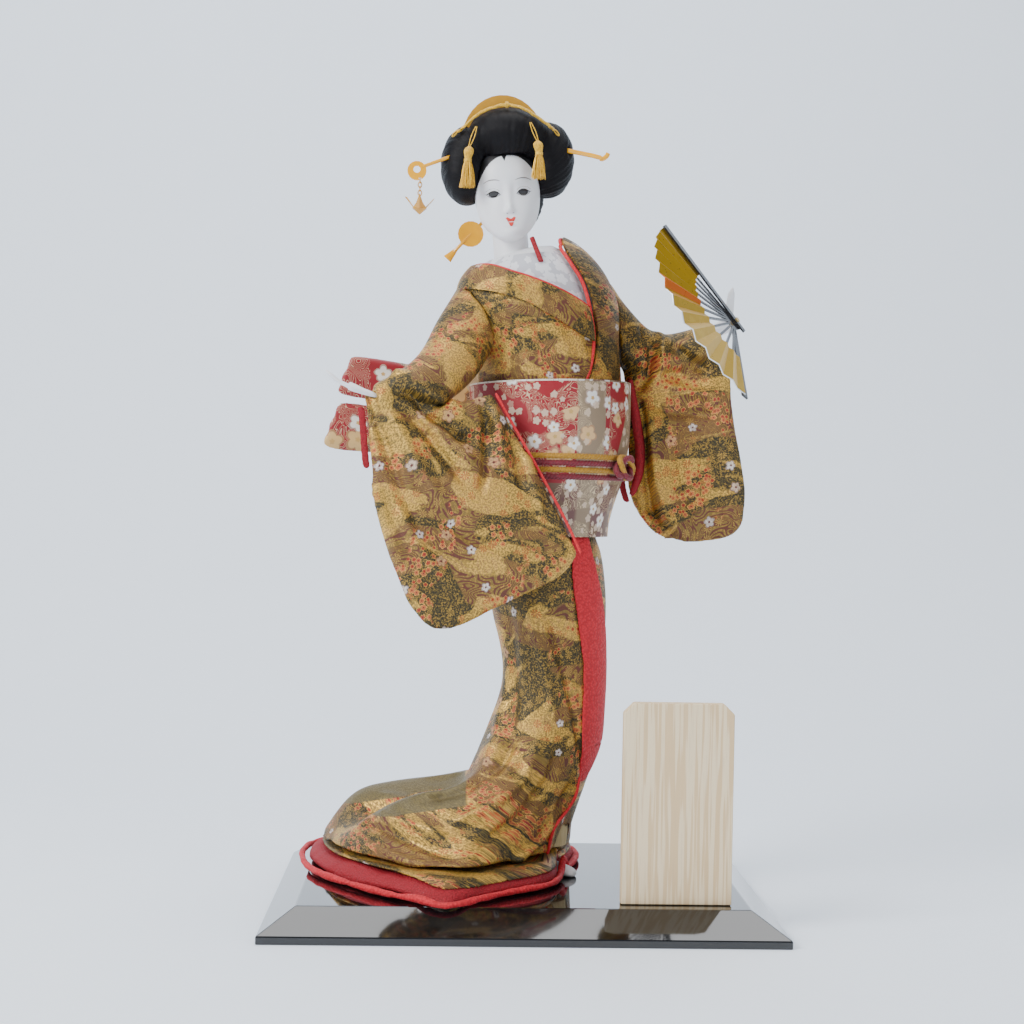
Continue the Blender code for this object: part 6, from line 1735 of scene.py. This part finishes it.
LIP_LIFT = 0.00016
face_patch("upper_lip", -0.0031, 0.0031, [value + 0.00006 for value in LIP_MID], LIP_TOP, LIP_LIFT, LIP_RED)
face_patch("lower_lip", -0.0026, 0.0026, LIP_LOW, [value - 0.00006 for value in LIP_MID], LIP_LIFT, LIP_RED)
print("face painted")

# %% [markdown]
# The wig is black silk, combed outwards from the face over pads. It starts from the wig's solid as
# one rounded skin. Shallow grooves part it into locks, and the single strands are left to the
# material, which runs them along the piece's own map: the angle round the face, and the distance.

# %% Hair silk
HAIR_BLACK, graph, shader = start_material("hair_black_silk", 0.34)
strand_map = graph.split(place_of(graph, "cloth"))
strand_place = graph.add(
    "ShaderNodeCombineXYZ",
    {0: graph.math("MULTIPLY", strand_map[0], 150.0), 1: graph.math("MULTIPLY", strand_map[1], 26.0)},
).outputs[0]
fine = graph.noise(strand_place, 2.2, 3.0, 0.6, 0.0, True)
lock_place = graph.add(
    "ShaderNodeCombineXYZ",
    {0: graph.math("MULTIPLY", strand_map[0], 26.0), 1: graph.math("MULTIPLY", strand_map[1], 8.0)},
).outputs[0]
locks = graph.noise(lock_place, 2.0, 2.0, 0.5, 0.0, True)
both = graph.math("ADD", graph.math("MULTIPLY", fine, 0.7), graph.math("MULTIPLY", locks, 0.3))
strand_black = graph.mix(both, (0.0015, 0.0015, 0.002), (0.010, 0.009, 0.011))
graph.tree.links.new(strand_black, shader.inputs["Base Color"])
graph.tree.links.new(graph.blend(fine, 0.34, 0.56), shader.inputs["Roughness"])
bump(graph, shader, both, 0.6, 0.0004)
shader.inputs["Specular IOR Level"].default_value = 0.13
shader.inputs["Sheen Weight"].default_value = 0.0
shader.inputs["Sheen Roughness"].default_value = 0.4

FACE_CENTRE = (-0.0150, 0.4300)


def comb_map(piece, grooves=0.00016):
    """Maps a piece by the angle round the face and the distance from it, and parts it in locks."""
    places, ways = points_and_normals(piece)
    side = places[:, 0] - FACE_CENTRE[0]
    rise = places[:, 2] - FACE_CENTRE[1]
    angle = np.arctan2(side, rise) + 0.25 * np.sin(places[:, 1] * 70.0)
    away = np.hypot(side, rise) - 0.6 * places[:, 1]
    places += ways * (grooves * (np.sin(angle * 34.0) + 0.7 * np.sin(angle * 71.0 + 1.0)))[:, None]
    piece.data.vertices.foreach_set("co", places.ravel())
    layer = piece.data.uv_layers.get("cloth") or piece.data.uv_layers.new(name="cloth")
    loops = np.empty(len(piece.data.loops), dtype=int)
    piece.data.loops.foreach_get("vertex_index", loops)
    layer.data.foreach_set("uv", np.column_stack((angle[loops], away[loops] * 10.0)).ravel())
    piece.data.update()


print("hair silk ready")

# %% Wig and topknot
wig_hair = rounded_skin("wig", "wig_hair", 0.0008, 8)
places, ways = points_and_normals(wig_hair)
offset = places - np.array(HEAD_MIDDLE)
face_side = offset[:, 0] * math.cos(HEAD_TILT) - offset[:, 2] * math.sin(HEAD_TILT)
face_rise = offset[:, 0] * math.sin(HEAD_TILT) + offset[:, 2] * math.cos(HEAD_TILT)
near_middle = np.clip((0.0160 - np.abs(face_side - 0.001)) / 0.006, 0.0, 1.0)
in_front = np.clip((-0.012 - places[:, 1]) / 0.004, 0.0, 1.0)
lift = np.clip(0.0238 - face_rise, 0.0, 0.0045) * near_middle * in_front
places[:, 2] += lift
wig_hair.data.vertices.foreach_set("co", places.ravel())
comb_map(wig_hair)
dress(wig_hair, HAIR_BLACK, ("wig",))
top_hair = rounded_skin("topknot", "topknot_hair", 0.0007, 6)
comb_map(top_hair, 0.0001)
dress(top_hair, HAIR_BLACK, ("topknot",))
print("wig faces:", len(wig_hair.data.polygons))

# %% [markdown]
# A twisted gold cord lies along the comb's lower edge and is tied at the crown. Its ends turn
# back in small loops at the sides, and two tassels hang from it. A tassel is a bound head of
# thread over a skirt of loose strands, each strand its own thin bar.

# %% Gold cord in the hair
cord_mesh = nodes["hair_cord"].data
cord_points = [vertex.co.copy() for vertex in cord_mesh.vertices]


def middle_near(node, height, reach=0.0012):
    """The middle of a solid's points near a height."""
    found = [vertex.co for vertex in nodes[node].data.vertices if abs(vertex.co.z - height) < reach]
    while not found:
        reach *= 1.5
        found = [vertex.co for vertex in nodes[node].data.vertices if abs(vertex.co.z - height) < reach]
    return sum(found, Vector()) / len(found)


HAIR_CORD_ROUTE = (
    (-0.0460, 0.4748), (-0.0420, 0.4785), (-0.0340, 0.4845), (-0.0250, 0.4885), (-0.0170, 0.4902),
    (-0.0080, 0.4885), (0.0000, 0.4845), (0.0080, 0.4800), (0.0126, 0.4773),
)
route = []
for step in range(90):
    x, z = along(HAIR_CORD_ROUTE, step / 89)
    near = sorted(cord_points, key=lambda point: (point.x - x) ** 2 + (point.z - z) ** 2)[:6]
    y = sum(point.y for point in near) / 6
    route.append(Vector((x, y - 0.0002, z)))
for _ in range(6):
    for index in range(1, len(route) - 1):
        route[index].y = (route[index - 1].y + route[index].y * 2 + route[index + 1].y) / 4
paths = braid_paths(route, False, 3, 26, 0.0006)
cord_parts = [rail(f"hair_cord_{number}", path, 0.00055, sides=1) for number, path in enumerate(paths)]
for end, lean in ((0, -1.0), (-1, 1.0)):
    tip = route[end]
    loop = []
    for step in range(25):
        turn = math.tau * step / 24
        along_loop = 0.0040 * (0.5 - 0.5 * math.cos(turn))
        loop.append(tip + Vector((
            lean * (along_loop * 0.8 + 0.0004), 0.0006, -along_loop * 0.75 + 0.0010 * math.sin(turn),
        )))
    cord_parts.append(rail(f"cord_loop_{end + 1}", loop, 0.00042, closed=False, sides=1))
crown_at = route[len(route) // 2]
for turn in range(3):
    ring = [
        crown_at + Vector((0.0007 * (turn - 1), -0.0014 * math.cos(angle), 0.0016 * math.sin(angle)))
        for angle in (math.tau * step / 16 for step in range(16))
    ]
    cord_parts.append(rail(f"cord_tie_{turn}", ring, 0.00038, closed=True, sides=1))
gold_cord = joined("hair_cord_twist", cord_parts)
dress(gold_cord, GOLD_THREAD, ("hair_cord",))
print("cord points:", len(gold_cord.data.vertices))

# %% Tassels
rng = np.random.default_rng(7)


def tassel(node, name):
    low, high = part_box(node)
    tall = high.z - low.z
    head_top = middle_near(node, low.z + tall * 0.66)
    ring_at = middle_near(node, low.z + tall * 0.44)
    foot = middle_near(node, low.z + 0.0008)
    top = middle_near(node, high.z - 0.0008)
    parts = []
    for side in (-1.0, 1.0):
        hang = [
            top.lerp(head_top, step / 10)
            + Vector((side * (0.00035 + 0.0007 * math.sin(math.pi * step / 10)), -0.0002, 0.0))
            for step in range(11)
        ]
        parts.append(rail(f"{name}_hang_{side:.0f}", hang, 0.00034, sides=1))
    head_path = [head_top.lerp(ring_at, step / 14) for step in range(15)]
    head_shape = (0.30, 0.62, 0.86, 1.0, 1.06, 1.07, 1.05, 1.0, 0.94, 0.88, 0.82, 0.78, 0.74, 0.72, 0.72)
    parts.append(rail(
        f"{name}_head", head_path, 0.0026, sides=8, taper=lambda part: head_shape[round(part * 14)],
    ))
    for number in range(28):
        turn = math.tau * number / 28
        way = Vector((math.cos(turn), math.sin(turn), 0.0))
        lines = [point + way * (0.0026 * head_shape[step]) for step, point in enumerate(head_path)]
        parts.append(rail(f"{name}_wrap_{number}", lines, 0.00024, sides=1))
    for level in (0.0, 0.00055, -0.00055):
        ring = [
            ring_at + Vector((math.cos(angle) * 0.0021, math.sin(angle) * 0.0021, level))
            for angle in (math.tau * step / 24 for step in range(24))
        ]
        parts.append(rail(f"{name}_ring_{level}", ring, 0.00036, closed=True, sides=1))
    for number in range(120):
        turn = rng.uniform(0.0, math.tau)
        out = math.sqrt(rng.uniform(0.05, 1.0))
        way = Vector((math.cos(turn), math.sin(turn), 0.0))
        bend = rng.uniform(-0.0005, 0.0005)
        end_out = 0.0048 * out * rng.uniform(0.92, 1.08)
        length = rng.uniform(0.92, 1.02)
        strand = []
        for step in range(6):
            part = step / 5
            middle = ring_at.lerp(foot, part * length)
            wide = 0.0017 * out + (end_out - 0.0017 * out) * part**0.8
            strand.append(middle + way * wide + Vector((bend * math.sin(part * 4.0), 0.0, 0.0)))
        parts.append(rail(f"{name}_thread_{number}", strand, 0.00021, sides=0))
    return dress(joined(name, parts), GOLD_THREAD, (node,))


tassels = [tassel("tassel_right", "tassel_right_silk"), tassel("tassel_left", "tassel_left_silk")]
print("tassel faces:", len(tassels[0].data.polygons))

# %% [markdown]
# The hands are white like the face, so their solids get the same soft skin, finely rounded. The
# feet are in white socks.

# %% Hands and feet
for node in ("right_hand", "left_hand"):
    made = rounded_skin(node, f"{node}_skin", 0.0004, 4)
    dress(made, SKIN, (node,))
for node in ("right_foot", "left_foot"):
    made = rounded_skin(node, f"{node}_sock", 0.0006, 5)
    dress(made, SOCK, (node,))
print("hands and feet ready")

# %% [markdown]
# Pieces whose solid already has the real shape keep it, and get their finish here: the lacquered
# board, the softwood plaque, the steel rod, the straw body, the comb and sticks of amber resin,
# the little chain with its folded crane, and the fan.

# %% Finishes on the solids that stay
KEPT = {
    "base_board": LACQUER, "name_plaque": SOFTWOOD, "support_rod": STEEL, "body_core": STRAW, "comb": AMBER,
    "pin_flower": AMBER_BRIGHT, "pin_hook": AMBER_BRIGHT, "pin_nape": AMBER_BRIGHT,
    "crane_charm": AMBER_PALE, "fan_leaf": GOLD_PAPER,
    "fan_ribs": BAMBOO, "fan_guard_upper": BAMBOO, "fan_guard_lower": BAMBOO, "fan_rivet": BRASS,
    "chain_link_1": AMBER_PALE, "chain_link_2": AMBER_PALE, "chain_link_3": AMBER_PALE,
    "chain_link_4": AMBER_PALE,
}
for node, material in KEPT.items():
    for slot in nodes[node].material_slots:
        slot.material = material
print("solids kept:", len(KEPT))
